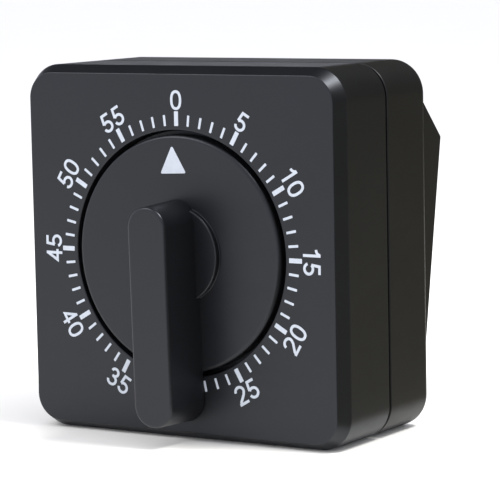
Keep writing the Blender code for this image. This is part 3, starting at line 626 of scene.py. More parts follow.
@dataclass(frozen=True)
class Ink:
    """Matt pad-printed ink, slightly uneven in cover."""

    colour: Colour = (0.54, 0.58, 0.64)
    roughness: float = 0.55

    def make(self, name: str) -> bpy.types.Material:
        """Make the material.

        Args:
            name: The material's name.

        Returns:
            A material that is thinner in places.
        """
        nodes = Nodes(name)
        here = nodes.place()
        cover = nodes.noise(1.4, 4.0, here)
        specks = nodes.noise(0.12, 2.0, here)
        tone = nodes.blend(nodes.spread(cover, 0.0, 1.0, 0.35, 0.7), rgba(self.colour, 0.90),
                           rgba(self.colour))
        rough = nodes.spread(specks, self.roughness - 0.06, self.roughness + 0.08, 0.2, 0.8)
        return nodes.finish(Base_Color=tone, Roughness=rough,
                            Normal=nodes.bump(specks, 0.004, 0.3), Specular_IOR_Level=0.4)


class Brushing(Enum):
    """Which way a metal's fine lines run."""

    ALONG_X = (1.0, 40.0, 40.0)
    ALONG_DEPTH = (40.0, 1.0, 40.0)
    NONE = (1.0, 1.0, 1.0)


@dataclass(frozen=True)
class Metal:
    """A worked metal: fine lines from rolling or turning, stains and small scratches."""

    colour: Colour
    roughness: float
    brushing: Brushing = Brushing.ALONG_X
    line_mm: float = 3.0
    tarnish: Colour = (0.20, 0.17, 0.13)
    tarnish_share: float = 0.15

    def make(self, name: str) -> bpy.types.Material:
        """Make the material.

        Args:
            name: The material's name.

        Returns:
            A metallic material with lines, stains and a matching bump.
        """
        nodes = Nodes(name)
        here = nodes.place()
        stretched = nodes.add("ShaderNodeMapping", {"Vector": here, "Scale": self.brushing.value})
        lines = nodes.noise(self.line_mm, 5.0, stretched.outputs[0])
        stains = nodes.noise(2.6, 4.0, here)
        tone = nodes.blend(nodes.spread(lines, 0.0, 1.0, 0.3, 0.7), rgba(self.colour, 0.88),
                           rgba(self.colour, 1.06))
        tone = nodes.blend(nodes.spread(stains, 0.0, self.tarnish_share, 0.55, 0.8), tone,
                           rgba(self.tarnish))
        rough = nodes.spread(lines, self.roughness - 0.06, self.roughness + 0.10, 0.3, 0.7)
        rough = nodes.sum(rough, nodes.spread(stains, 0.0, 0.12, 0.5, 0.8))
        return nodes.finish(Base_Color=tone, Metallic=1.0, Roughness=rough,
                            Normal=nodes.bump(lines, 0.004, 0.25))


def dress(piece: bpy.types.Object, material: bpy.types.Material) -> bpy.types.Object:
    """Give every slot of a piece one material.

    Args:
        piece: The mesh object; it gets a slot if it has none.
        material: The finish.

    Returns:
        The piece.
    """
    if not piece.material_slots:
        piece.data.materials.append(material)
    for place in piece.material_slots:
        place.material = material
    return piece


def fit(piece: bpy.types.Object, body: Body,
        replaces: Sequence[str] = ()) -> bpy.types.Object:
    """Tie a new piece to its body and the frame's nodes it stands for.

    Args:
        piece: The finished piece.
        body: The body it moves with.
        replaces: The frame's nodes that it stands for.

    Returns:
        The piece.
    """
    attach(piece, body.value)
    if replaces:
        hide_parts(*replaces)
    LOG.info("%s: %d faces on %s", piece.name, len(piece.data.polygons), body.value)
    return piece


# ------------------------------------------------------------------ case

CASE_SCREWS = four(30.0, 27.0)


@dataclass
class FrontShell:
    """The front moulding: chamfered face, dial well, and the posts inside."""

    dial: Dial
    outline: Outline = field(default_factory=Outline)
    chamfer_in: float = 1.6
    chamfer_depth: float = 2.9
    rear: float = 18.3
    wall: float = 2.0
    well_r: float = 25.15
    well_depth: float = 3.2
    sleeve_hole_r: float = 4.9
    post_r: float = 3.0
    post_hole_r: float = 1.5
    post_hole_end: float = 9.0
    mount_r: float = 2.6
    mount_hole_r: float = 1.4
    mount_hole_end: float = 2.6
    mount_at: float = 22.3
    mount_rear: float = 7.3

    def skin(self) -> Surface:
        """The shell's whole surface, closed on itself.

        The rings follow the outer side forwards, the chamfer, the face, the well's wall and
        floor, then the same wall from inside. Rings outside the well are the outline drawn
        in; rings of the well are circles.

        Returns:
            The closed surface.
        """
        outer, outer_wear = rounded([
            (self.wall, self.rear, 0.0), (0.0, self.rear, 0.22),
            (0.0, self.chamfer_depth, 0.8), (self.chamfer_in, 0.0, 0.3),
            (self.chamfer_in + 2.5, 0.0, 0.0)])
        cup_r = self.well_r + self.wall
        cup_rear = self.well_depth + self.wall
        well, well_wear = rounded([
            (self.well_r + 0.9, 0.0, 0.0), (self.well_r, 0.0, 0.28),
            (self.well_r, self.well_depth, 0.35), (self.sleeve_hole_r, self.well_depth, 0.2),
            (self.sleeve_hole_r, cup_rear, 0.2), (cup_r, cup_rear, 0.3),
            (cup_r, self.wall, 0.0)])
        inner, _ = rounded([(self.wall + 1.0, self.wall, 0.0), (self.wall, self.wall, 0.4),
                            (self.wall, self.rear - 0.5, 0.0)])
        rings = [ring(self.outline.square(a), d) for a, d in outer]
        rings += [ring(self.outline.circle(r), d) for r, d in well]
        rings += [ring(self.outline.square(a), d) for a, d in inner]
        wear = np.concatenate([outer_wear, well_wear * 0.6, np.zeros(len(inner))])
        return loft(np.stack(rings), wear, ring_closed=True)

    def posts(self) -> Surface:
        """Hollow posts for the case screws and the movement screws.

        Returns:
            The eight posts as one surface, each one closed.
        """
        made = None
        root = self.wall - SUNK
        for radius, hole, rear, floor, places in (
                (self.post_r, self.post_hole_r, self.rear, self.post_hole_end, CASE_SCREWS),
                (self.mount_r, self.mount_hole_r, self.mount_rear, self.mount_hole_end,
                 four(self.mount_at, self.mount_at))):
            profile, _ = rounded([
                (NEAR_AXIS, root, 0.0), (radius, root, 0.0), (radius, rear, 0.2),
                (hole, rear, 0.2), (hole, floor, 0.0), (NEAR_AXIS, floor, 0.0)])
            for at in places:
                post = turned_surface(profile, np.zeros(len(profile)), at, 32)
                made = post if made is None else made.plus(post)
        return made

    def build(self, material: bpy.types.Material) -> bpy.types.Object:
        """Make the shell and tie it to the case.

        Args:
            material: The moulding's finish.

        Returns:
            The piece that stands for the frame's front shell.
        """
        shell = self.skin().plus(self.posts()).build("front_shell_moulding", self.dial)
        dress(shell, material)
        return fit(shell, Body.CASE, ["front_shell"])


@dataclass
class RearShell:
    """The rear moulding: lip, rounded back edge, tilting wedge, sound slots, screw wells."""

    dial: Dial
    outline: Outline = field(default_factory=Outline)
    front: float = 19.0
    back: float = 35.5
    edge_r: float = 2.0
    wall: float = 2.6
    back_wall: float = 2.2
    lip_inset: float = 2.3
    lip_wall: float = 1.5
    lip_front: float = 16.3
    lip_root: float = 1.5
    wedge_half: float = 36.05
    foot_z: float = -33.0
    peak_z: float = 21.4
    top_z: float = 31.3
    tilt: float = math.radians(10.34)
    wedge_edge: float = 0.6
    wedge_sunk: float = 0.6
    wedge_clear: float = 0.8
    blend_floor: float = 0.3
    slot_count: int = 5
    slot_half: float = 11.0
    slot_r: float = 0.8
    slot_pitch: float = 4.2
    slot_mid: float = 2.0
    slot_mouth: float = 0.22
    slot_reach: float = 3.0
    seat: float = 24.0
    seat_r: float = 2.6
    seat_mouth: float = 0.25
    hollow_lead: float = 5.0
    shank_r: float = 1.5
    shank_front: float = 10.0
    post_r: float = 4.0
    post_span: tuple[float, float] = (5.0, 60.0)

    @property
    def rise(self) -> float:
        """How far the wedge's peak stands behind the flat of the back."""
        return (self.peak_z - self.foot_z) * math.tan(self.tilt)

    def wedge_back(self, z: Array) -> Array:
        """The wedge's depth at a height: the lower of its two slopes, as planes in z.

        Args:
            z: Heights above the dial's centre.

        Returns:
            The depth at each height.
        """
        below = self.back + (z - self.foot_z) * math.tan(self.tilt)
        above = self.back + (self.top_z - z) * self.rise / (self.top_z - self.peak_z)
        return np.minimum(below, above)

    def body(self) -> Surface:
        """The box behind the parting, with its rounded back edge.

        Returns:
            The closed solid.
        """
        profile, wear = rounded([(6.0, self.front, 0.0), (0.0, self.front, 0.22),
                                 (0.0, self.back, self.edge_r), (6.5, self.back, 0.0)], 8)
        return loft(np.stack([ring(self.outline.square(a), d) for a, d in profile]), wear)

    def wedge(self, half: float, grow: float, edge: float) -> Surface:
        """A bar along x whose section is the wedge, its edges rounded.

        The section in (depth, z) is rounded at the peak. Rings of it run along x; near each
        end they shrink towards the base along a quarter circle, which rounds the end's edge.

        Args:
            half: Half its length along x.
            grow: How far the section stands outside the wedge; negative for the hollow.
            edge: Rounding of the peak and of the ends.

        Returns:
            The closed surface.
        """
        sunk = self.back - self.back_wall - self.wedge_sunk
        slope = math.tan(self.tilt)
        steep = (self.top_z - self.peak_z) / self.rise
        foot = self.foot_z - grow / math.sin(self.tilt)
        top = self.top_z + grow * math.hypot(1.0, steep)
        peak = (top - foot) / (1.0 / slope + steep)
        limit = self.outline.half - self.edge_r - self.wedge_clear + min(grow, 0.0)
        base = sunk - self.back
        low = max(-limit, foot + base / slope)
        high = min(limit, top - base * steep)
        section, _ = rounded([(sunk, low, 0.0), (self.back + (low - foot) * slope, low, 0.0),
                              (self.back + peak, foot + peak / slope, max(edge, 0.05)),
                              (self.back + (top - high) / steep, high, 0.0), (sunk, high, 0.0)],
                             8, closed=True)
        turn = np.linspace(0.0, math.pi / 2.0, 9)
        # an inner ring close to the rounding keeps the slope flat when it is shaded
        inwards = np.concatenate([edge * (1.0 - np.sin(turn)), [0.0]])
        along = np.concatenate([half - edge + edge * np.cos(turn), [half - edge - 0.06]])
        if edge <= 0.0:
            inwards, along = np.zeros(2), np.array([half, half - 0.1])
        across = np.concatenate([along, -along[::-1]])
        lower = np.concatenate([inwards, inwards[::-1]])
        # the end's rounding lowers each ring towards the base, never past the flat of the back
        depth, z = section.T
        floor = np.minimum(depth, self.back - self.blend_floor)
        rings = np.stack([np.broadcast_to(across[:, None], (len(across), len(depth))),
                          np.maximum(depth[None] - lower[:, None], floor[None]),
                          np.broadcast_to(z, (len(across), len(z)))], axis=-1)
        return loft(rings)

    def opening(self, flat: Array, edge: float, inner: float) -> Surface:
        """A cutter through the wedge whose mouth flares along the slope.

        Each ring is the opening's outline grown by an amount, at the slope's own depth plus
        an offset, so the rounding is even all round the mouth.

        Args:
            flat: The opening's outline in (x, z).
            edge: Rounding of the mouth.
            inner: The depth where the cutter ends inside.

        Returns:
            The closed cutter.
        """
        middle = flat.mean(0)
        outward = flat - middle
        beside = np.roll(flat, -1, 0) - np.roll(flat, 1, 0)
        beside /= np.linalg.norm(beside, axis=1, keepdims=True)
        normal = np.stack([beside[:, 1], -beside[:, 0]], axis=1)
        normal *= np.sign((normal * outward).sum(1, keepdims=True))
        turn = np.linspace(0.0, math.pi / 2.0, 6)
        # the first ring stands well outside, the second a hair above the slope
        grow = np.concatenate([[edge, edge], edge * (1.0 - np.sin(turn[1:])), [0.0]])
        lift = np.concatenate([[3.0, 0.03], -edge * (1.0 - np.cos(turn[1:])), [-edge - 0.1]])
        rings = []
        for more, off in zip(grow, lift):
            spread = flat + normal * more
            rings.append(ring(spread, self.wedge_back(spread[:, 1]) + off))
        rings.append(ring(flat, inner))
        return loft(np.stack(rings))

    def hollow(self) -> bpy.types.Object:
        """What empties the shell: the box and the wedge drawn in, less the screw posts.

        Returns:
            The cutter.
        """
        profile, _ = rounded([(self.wall, self.front - self.hollow_lead, 0.0),
                              (self.wall, self.back - self.back_wall, 0.0)])
        box = loft(np.stack([ring(self.outline.square(a), d) for a, d in profile]))
        wedge = self.wedge(self.wedge_half - self.back_wall, -self.back_wall, 0.0)
        steps = [(Combine.JOIN, wedge.build("wedge_hollow", self.dial))]
        steps += [(Combine.CUT, self.pin(self.post_r, *self.post_span, at).build(
            f"post_{k}", self.dial)) for k, at in enumerate(CASE_SCREWS)]
        made = box.build("hollow", self.dial)
        combine(made, steps)
        return made

    def pin(self, radius: float, front: float, rear: float, at: Place) -> Surface:
        """A plain round pin along the depth.

        Args:
            radius: Its radius.
            front: Where it starts.
            rear: Where it ends.
            at: Its axis in (x, z).

        Returns:
            The closed solid.
        """
        profile, wear = rounded([(NEAR_AXIS, front, 0.0), (radius, front, 0.0),
                                 (radius, rear, 0.0), (NEAR_AXIS, rear, 0.0)])
        return turned_surface(profile, wear, at, 40)

    def lip(self) -> Surface:
        """The lip that enters the front shell.

        Returns:
            The closed band, its front edges rounded.
        """
        inside = self.lip_inset + self.lip_wall
        root = self.front + self.lip_root
        section, _ = rounded([(self.lip_inset, root, 0.0), (self.lip_inset, self.lip_front, 0.3),
                              (inside, self.lip_front, 0.3), (inside, root, 0.0)], closed=True)
        rings = np.stack([ring(self.outline.square(a), d) for a, d in section])
        return loft(rings, ring_closed=True)

    def screw_cutters(self) -> list[tuple[Combine, bpy.types.Object]]:
        """Each screw's head well and shank hole.

        Returns:
            The steps that cut them.
        """
        angles = 2.0 * math.pi * np.arange(48) / 48
        disc = np.stack([np.cos(angles), np.sin(angles)], axis=1)
        steps = []
        for k, at in enumerate(CASE_SCREWS):
            well = self.opening(np.array(at) + self.seat_r * disc, self.seat_mouth, self.seat)
            shank = self.pin(self.shank_r, self.shank_front, self.seat + 2.0, at)
            steps += [(Combine.CUT, well.build(f"head_well_{k}", self.dial)),
                      (Combine.CUT, shank.build(f"shank_hole_{k}", self.dial))]
        return steps

    def slot_cutters(self) -> list[tuple[Combine, bpy.types.Object]]:
        """The sound slots, one above the other.

        Returns:
            The steps that cut them.
        """
        bar = stadium(self.slot_r, self.slot_half, self.slot_half, 12)[:, ::-1]
        inner = self.back - self.back_wall - self.slot_reach
        steps = []
        for k in range(self.slot_count):
            z = self.slot_mid + self.slot_pitch * (k - (self.slot_count - 1) / 2.0)
            slot = self.opening(bar + np.array([0.0, z]), self.slot_mouth, inner)
            steps.append((Combine.CUT, slot.build(f"sound_slot_{k}", self.dial)))
        return steps

    def build(self, material: bpy.types.Material) -> bpy.types.Object:
        """Make the shell from its solids and tie it to the case.

        Args:
            material: The moulding's finish.

        Returns:
            The piece that stands for the frame's rear shell.
        """
        shell = self.body().build("rear_shell_moulding", self.dial)
        wedge = self.wedge(self.wedge_half, 0.0, self.wedge_edge).build("wedge", self.dial)
        combine(shell, [(Combine.JOIN, wedge), (Combine.CUT, self.hollow()),
                        (Combine.JOIN, self.lip().build("lip", self.dial)),
                        *self.screw_cutters(), *self.slot_cutters()])
        even_shading(shell)
        dress(shell, material)
        return fit(shell, Body.CASE, ["rear_shell"])


@dataclass
class CaseScrew:
    """A thread-forming screw with a pan head and a cross recess."""

    dial: Dial
    at: Place
    seat: float = 24.3
    tip: float = 10.0
    head_r: float = 2.3
    head_h: float = 1.6
    crest_r: float = 1.2
    core_r: float = 0.88
    plain_step: float = 0.12
    pitch: float = 0.9
    dome_r: float = 1.35
    # the recess's half length, half width and depth from the top of the head
    arm: tuple[Vec3, ...] = ((0.35, 0.16, -1.25), (1.15, 0.26, -0.15), (1.35, 0.28, 0.6))

    @property
    def rear(self) -> float:
        """Depth of the top of the head."""
        return self.seat + self.head_h

    @property
    def stop_turn(self) -> float:
        """Where the screw stopped turning, in radians: a different angle at each place."""
        return 0.3 + self.at[0] * 0.7 + self.at[1] * 0.31

    def shank(self) -> Surface:
        """The threaded shank.

        The radius at depth d and angle a is the core's plus a tooth, a bump of
        |cos(pi * (d / pitch - a / 2 pi))| to the sixth power, and it tapers at the tip.

        Returns:
            The closed surface, its rear end inside the head.
        """
        depth = np.linspace(self.tip, self.seat + SUNK, int((self.seat - self.tip) / 0.075))
        angles = 2.0 * math.pi * np.arange(28) / 28
        phase = math.pi * (depth[:, None] / self.pitch - angles[None] / (2.0 * math.pi))
        taper = np.clip((depth - self.tip) / 1.6, 0.04, 1.0)[:, None] ** 0.6
        smooth_part = (depth[:, None] > self.seat - 1.0) * 1.0
        tooth = np.abs(np.cos(phase)) ** 6 * (self.crest_r - self.core_r)
        tooth = tooth * (1.0 - smooth_part) + smooth_part * self.plain_step
        radius = (self.core_r + tooth) * taper
        rings = np.stack([self.at[0] + radius * np.cos(angles),
                          np.broadcast_to(depth[:, None], radius.shape),
                          self.at[1] + radius * np.sin(angles)], axis=-1)
        return loft(rings)

    def recess(self, turn: float) -> Surface:
        """One arm pair of the cross, narrower at its bottom.

        Args:
            turn: The arm's direction about the screw, in radians.

        Returns:
            The closed cutter.
        """
        cos, sin = math.cos(turn), math.sin(turn)
        rings = []
        for reach, half, above in self.arm:
            flat = np.array([(reach, -half), (reach, half), (-reach, half), (-reach, -half)])
            flat = flat @ np.array([[cos, sin], [-sin, cos]]) + np.array(self.at)
            rings.append(ring(flat, self.rear + above))
        return loft(np.stack(rings))

    def build(self, name: str, node: str, material: bpy.types.Material) -> bpy.types.Object:
        """Make the screw and tie it to the case.

        Args:
            name: The piece's name.
            node: The frame's node that it stands for.
            material: The metal's finish.

        Returns:
            The piece.
        """
        profile, wear = rounded([(NEAR_AXIS, self.seat, 0.0), (self.head_r, self.seat, 0.1),
                                 (self.head_r, self.seat + 0.55, 0.5),
                                 (self.dome_r, self.rear, 1.2), (NEAR_AXIS, self.rear, 0.0)], 5)
        head = turned_surface(profile, wear, self.at, 48).build(name, self.dial)
        first = self.recess(self.stop_turn)
        second = self.recess(self.stop_turn + math.pi / 2.0)
        combine(head, [(Combine.CUT, first.build("recess_a", self.dial)),
                       (Combine.CUT, second.build("recess_b", self.dial)),
                       (Combine.JOIN, self.shank().build("shank", self.dial))])
        dress(head, material)
        return fit(head, Body.CASE, [node])


# ------------------------------------------------------------------ knob

@dataclass
class DialKnob:
    """The knob in one moulding: disc, hub, grip bar and sleeve, with its printed arrow."""

    dial: Dial
    rest_turn: float = math.radians(-1.1)
    disc_r: float = 24.2
    proud: float = 0.5
    disc_back: float = 2.6
    lip: float = 0.8
    hub_r: float = 10.0
    hub_h: float = 1.2
    sleeve_r: float = 4.5
    sleeve_end: float = 7.0
    bore_r: float = 2.3
    bore_flat: float = 1.7
    bore_front: float = 1.0
    bar_front: float = 11.7
    bar_gap: float = 0.3
    bar_half: float = 4.95
    bar_draft: float = 0.5
    bar_up: float = 11.2
    bar_down: float = 34.2
    bar_edge: float = 0.6
    arrow_tip: float = 21.8
    arrow_base: float = 16.45
    arrow_half: float = 3.1
    arrow_blunt: float = 0.35
    arrow_turn: float = math.radians(-1.2)

    def disc(self) -> Surface:
        """Disc, hub and sleeve, turned about the dial's axis.

        The bore's rings are cut by a flat: their height is never above bore_flat.

        Returns:
            The closed surface.
        """
        hub_front = -self.proud - self.hub_h
        profile, wear = rounded([
            (NEAR_AXIS, hub_front, 0.0), (self.hub_r, hub_front, 0.3),
            (self.hub_r, -self.proud, 0.15), (self.disc_r, -self.proud, self.lip),
            (self.disc_r, self.disc_back, 0.3), (self.sleeve_r, self.disc_back, 0.4),
            (self.sleeve_r, self.sleeve_end, 0.3), (self.bore_r, self.sleeve_end, 0.15),
            (self.bore_r, self.bore_front, 0.0), (NEAR_AXIS, self.bore_front, 0.0)], 7)
        made = turned_surface(profile, wear * 0.4, steps=192)
        x, depth, z = made.points.T
        reach = np.hypot(x, z)
        in_bore = (reach < self.bore_r + 0.02) & (depth > 0.0)
        made.points[:, 2] = np.where(in_bore, np.minimum(z, self.bore_flat), z)
        return made

    def bar(self) -> Surface:
        """The grip bar.

        Its rings are the bar's outline drawn in: by the draft over the height of the sides,
        then along a quarter circle to the grip face.

        Returns:
            The closed surface.
        """
        top = -self.bar_front
        foot = -self.bar_gap
        profile, wear = rounded([(1.5, foot, 0.0), (0.0, foot, 0.12),
                                 (self.bar_draft, top, self.bar_edge),
                                 (self.bar_draft + 1.6, top, 0.0)], 7)
        rings = [ring(stadium(self.bar_half - a, self.bar_up - a, self.bar_down - a, 28), d)
                 for a, d in profile]
        return loft(np.stack(rings), wear)

    def arrow(self) -> Surface:
        """The printed arrow, a triangle with slightly rounded corners.

        Returns:
            The closed layer of ink. Its sharp tip lies beyond the rounded one.
        """
        flat, _ = rounded([(0.0, self.arrow_tip + self.arrow_blunt, 0.3),
                           (-self.arrow_half, self.arrow_base, 0.25),
                           (self.arrow_half, self.arrow_base, 0.25)], 5, 0.02, closed=True)
        return prism(flat, -self.proud - INK_PROUD, -self.proud + INK_SUNK)

    def build(self, plastic: bpy.types.Material, ink: bpy.types.Material) -> None:
        """Make the knob and its arrow, and tie them to the knob's body.

        Args:
            plastic: The moulding's finish.
            ink: The arrow's finish.
        """
        knob = self.disc().turned(self.rest_turn).build("dial_knob_moulding", self.dial)
        bar = self.bar().turned(self.rest_turn).build("bar", self.dial)
        combine(knob, [(Combine.JOIN, bar)])
        even_shading(knob)
        dress(knob, plastic)
        fit(knob, Body.KNOB, ["dial_knob"])
        arrow = self.arrow().turned(self.rest_turn + self.arrow_turn).build(
            "printed_arrow", self.dial)
        dress(arrow, ink)
        fit(arrow, Body.KNOB)


# ------------------------------------------------------------------ printed scale

def swept(line: Array, half: float, front: float, rear: float, closed: bool = False) -> Surface:
    """A flat stroke of even width along a line.

    Each point of the line is moved half the width to both sides, along the mean normal of
    its two segments and longer by 1 / cos of half the turn, so corners are mitred. The
    rings of four points follow the line.

    Args:
        line: Points as (n, 2) in (x, z).
        half: Half the stroke's width.
        front: Depth of its front.
        rear: Depth of its rear.
        closed: True if the line ends where it starts.

    Returns:
        The closed stroke.
    """
    along = np.diff(np.vstack([line, line[:1]]), axis=0)
    along /= np.linalg.norm(along, axis=1, keepdims=True)
    before = np.roll(along, 1, axis=0)
    if not closed:
        before[0], along[-1] = along[0], along[-2]
        before[-1] = along[-2]
    mean = along + before
    mean /= np.linalg.norm(mean, axis=1, keepdims=True)
    normal = np.stack([-mean[:, 1], mean[:, 0]], axis=1)
    normal *= half / (mean * along).sum(1, keepdims=True)
    sides = (ring(line + normal, front), ring(line - normal, front),
             ring(line - normal, rear), ring(line + normal, rear))
    return loft(np.stack(sides, axis=1), ring_closed=closed)


def oval(middle: Place, across: float, up: float, start: float, end: float,
         steps: int = 20, square: float = 1.0) -> Array:
    """Part of an oval: middle + (across cos^s, up sin^s) of angles from start to end.

    Args:
        middle: The oval's centre.
        across: Half its width.
        up: Half its height.
        start: First angle in degrees.
        end: Last angle in degrees.
        steps: Segments.
        square: The power s; below 1 the oval's sides are fuller.

    Returns:
        The points as (n, 2).
    """
    angle = np.radians(np.linspace(start, end, steps + 1))
    cos, sin = np.cos(angle), np.sin(angle)
    return np.stack([middle[0] + across * np.sign(cos) * np.abs(cos) ** square,
                     middle[1] + up * np.sign(sin) * np.abs(sin) ** square], axis=1)


@dataclass(frozen=True)
class Numerals:
    """Plain upright digits, drawn as strokes of one width in a box one unit high."""

    weight: float = 0.142
    advance: float = 0.775
    digit_width: float = 0.67

    def strokes(self, digit: str) -> list[tuple[Array, bool]]:
        """The centre lines of a digit.

        Args:
            digit: One of 0 to 5.

        Returns:
            Each stroke's points and whether it is closed.
        """
        edge = self.weight / 2.0
        top = 1.0 - edge
        if digit == "0":
            return [(oval((0.335, 0.5), 0.335 - edge, 0.5 - edge, 0.0, 348.0, 29, 0.86), True)]
        if digit == "1":
            return [(np.array([(0.425, 0.0), (0.425, 1.0)]), False),
                    (oval((0.12, 1.0), 0.27, 0.25, 270.0, 352.0, 8), False)]
        if digit == "2":
            bow = oval((0.33, top - 0.225), 0.25, 0.225, 176.0, -30.0, 18)
            down = np.array([(0.47, 0.475), (0.30, 0.325), (0.155, 0.195), (0.10, edge)])
            return [(np.vstack([bow, down]), False),
                    (np.array([(0.018, edge), (0.615, edge)]), False)]
        if digit == "3":
            upper = oval((0.315, top - 0.197), 0.208, 0.197, 170.0, -78.0, 18)
            lower = oval((0.315, edge + 0.222), 0.248, 0.222, 84.0, -168.0, 20)
            return [(upper, False), (lower, False),
                    (np.array([(0.235, 0.528), (0.37, 0.528)]), False)]
        if digit == "4":
            return [(np.array([(0.46, 0.93), (0.085, 0.305), (0.645, 0.305)]), False),
                    (np.array([(0.465, 0.0), (0.465, 1.0)]), False)]
        bowl = oval((0.305, edge + 0.242), 0.255, 0.242, 139.0, -166.0, 22)
        return [(np.array([(0.575, top), (0.175, top), (0.105, 0.475)]), False), (bowl, False)]

    def number(self, value: int) -> list[tuple[Array, bool]]:
        """The centre lines of a number, about its middle, one unit high.

        Args:
            value: The number.

        Returns:
            Each stroke's points and whether it is closed.
        """
        digits = str(value)
        width = self.advance * (len(digits) - 1) + self.digit_width
        made = []
        for k, digit in enumerate(digits):
            for line, closed in self.strokes(digit):
                shift = np.array([k * self.advance - width / 2.0, -0.5])
                made.append((line + shift, closed))
        return made


@dataclass
class PrintedScale:
    """Sixty minute marks and the numbers at every fifth one, printed on the face.

    minor and major say where a mark starts and ends from the centre, and its width.
    """

    dial: Dial
    minor: Vec3 = (26.05, 28.3, 0.52)
    major: Vec3 = (26.0, 28.95, 0.95)
    mark_round: float = 0.1
    number_height: float = 4.0
    number_r: float = 31.2
    inward: tuple[int, ...] = (20, 25, 30, 35, 40)
    numerals: Numerals = field(default_factory=Numerals)

    def marks(self) -> Surface:
        """All the minute marks.

        One mark is a rounded bar about the twelve-o'clock line. Its points are turned to
        every minute at once: x cos + z sin, z cos - x sin of the minute's angle.

        Returns:
            The marks as one surface of separate closed bars.
        """
        made = None
        minutes = np.arange(60)
        for (near, far, width), chosen in ((self.minor, minutes[minutes % 5 != 0]),
                                           (self.major, minutes[minutes % 5 == 0])):
            half, bend = width / 2.0, self.mark_round
            flat, _ = rounded([(half, near, bend), (half, far, bend), (-half, far, bend),
                               (-half, near, bend)], 3, 0.02, closed=True)
            one = prism(flat, -INK_PROUD, INK_SUNK)
            angle = (2.0 * math.pi * chosen / 60.0)[:, None]
            x, depth, z = (one.points[:, k][None] for k in range(3))
            points = np.stack([x * np.cos(angle) + z * np.sin(angle),
                               np.broadcast_to(depth, (len(chosen), depth.shape[1])),
                               z * np.cos(angle) - x * np.sin(angle)], axis=-1).reshape(-1, 3)
            shift = (np.arange(len(chosen)) * len(one.points))[:, None, None]
            some = Surface(points, (one.quads[None] + shift).reshape(-1, 4),
                           (one.tris[None] + shift).reshape(-1, 3), np.zeros(len(points)))
            made = some if made is None else made.plus(some)
        return made

    def number(self, minute: int) -> bpy.types.Object:
        """One number, its top outwards or, in the dial's lower part, towards the centre.

        Args:
            minute: The number.

        Returns:
            The number in place, its strokes joined.
        """
        sign = -1.0 if minute in self.inward else 1.0
        half = self.numerals.weight * self.number_height / 2.0
        strokes = []
        for k, (line, closed) in enumerate(self.numerals.number(minute)):
            flat = line * self.number_height * sign + np.array([0.0, self.number_r])
            stroke = swept(flat, half, -INK_PROUD, INK_SUNK, closed)
            strokes.append(stroke.turned(math.radians(6.0 * minute))
                           .build(f"printed_number_{minute}" if k == 0 else "stroke", self.dial))
        if len(strokes) > 1:
            combine(strokes[0], [(Combine.JOIN, other) for other in strokes[1:]])
        return strokes[0]

    def build(self, ink: bpy.types.Material) -> None:
        """Make the marks and the numbers, and tie them to the case.

        Args:
            ink: The print's finish.
        """
        marks = self.marks().build("printed_minute_marks", self.dial)
        fit(dress(marks, ink), Body.CASE)
        for minute in range(0, 60, 5):
            fit(dress(self.number(minute), ink), Body.CASE)


# ------------------------------------------------------------------ movement

@dataclass
class Bell:
    """The pressed bell behind the sound slots."""

    dial: Dial
    at: Place = (0.0, 8.0)
    around: int = 128
    radius: float = 17.0
    front: float = 25.4
    height: float = 6.2
    wall: float = 0.8
    hole_r: float = 1.2

    def build(self, material: bpy.types.Material) -> bpy.types.Object:
        """Make the bell and tie it to the case.

        The outer side is a quarter ellipse, radius * sin and height * cos of an angle from
        the hole to the rim; the inner side is the same, a wall's thickness inside.

        Args:
            material: The metal's finish.

        Returns:
            The piece that stands for the frame's bell.
        """
        start = math.asin(self.hole_r / self.radius)
        turn = np.linspace(start, math.pi / 2.0, 40)
        outer = np.stack([self.radius * np.sin(turn),
                          self.front + self.height * np.cos(turn)], axis=1)
        inner = np.stack([(self.radius - self.wall) * np.sin(turn),
                          self.front + (self.height - self.wall) * np.cos(turn)], axis=1)
        inner[0, 0] = self.hole_r
        profile = np.vstack([outer, inner[::-1]])
        angles = 2.0 * math.pi * np.arange(self.around) / self.around
        rings = np.stack([self.at[0] + profile[:, :1] * np.cos(angles),
                          np.broadcast_to(profile[:, 1:], (len(profile), self.around)),
                          self.at[1] + profile[:, :1] * np.sin(angles)], axis=-1)
        made = loft(rings, ring_closed=True).build("bell_pressing", self.dial)
        dress(made, material)
        return fit(made, Body.CASE, ["bell"])


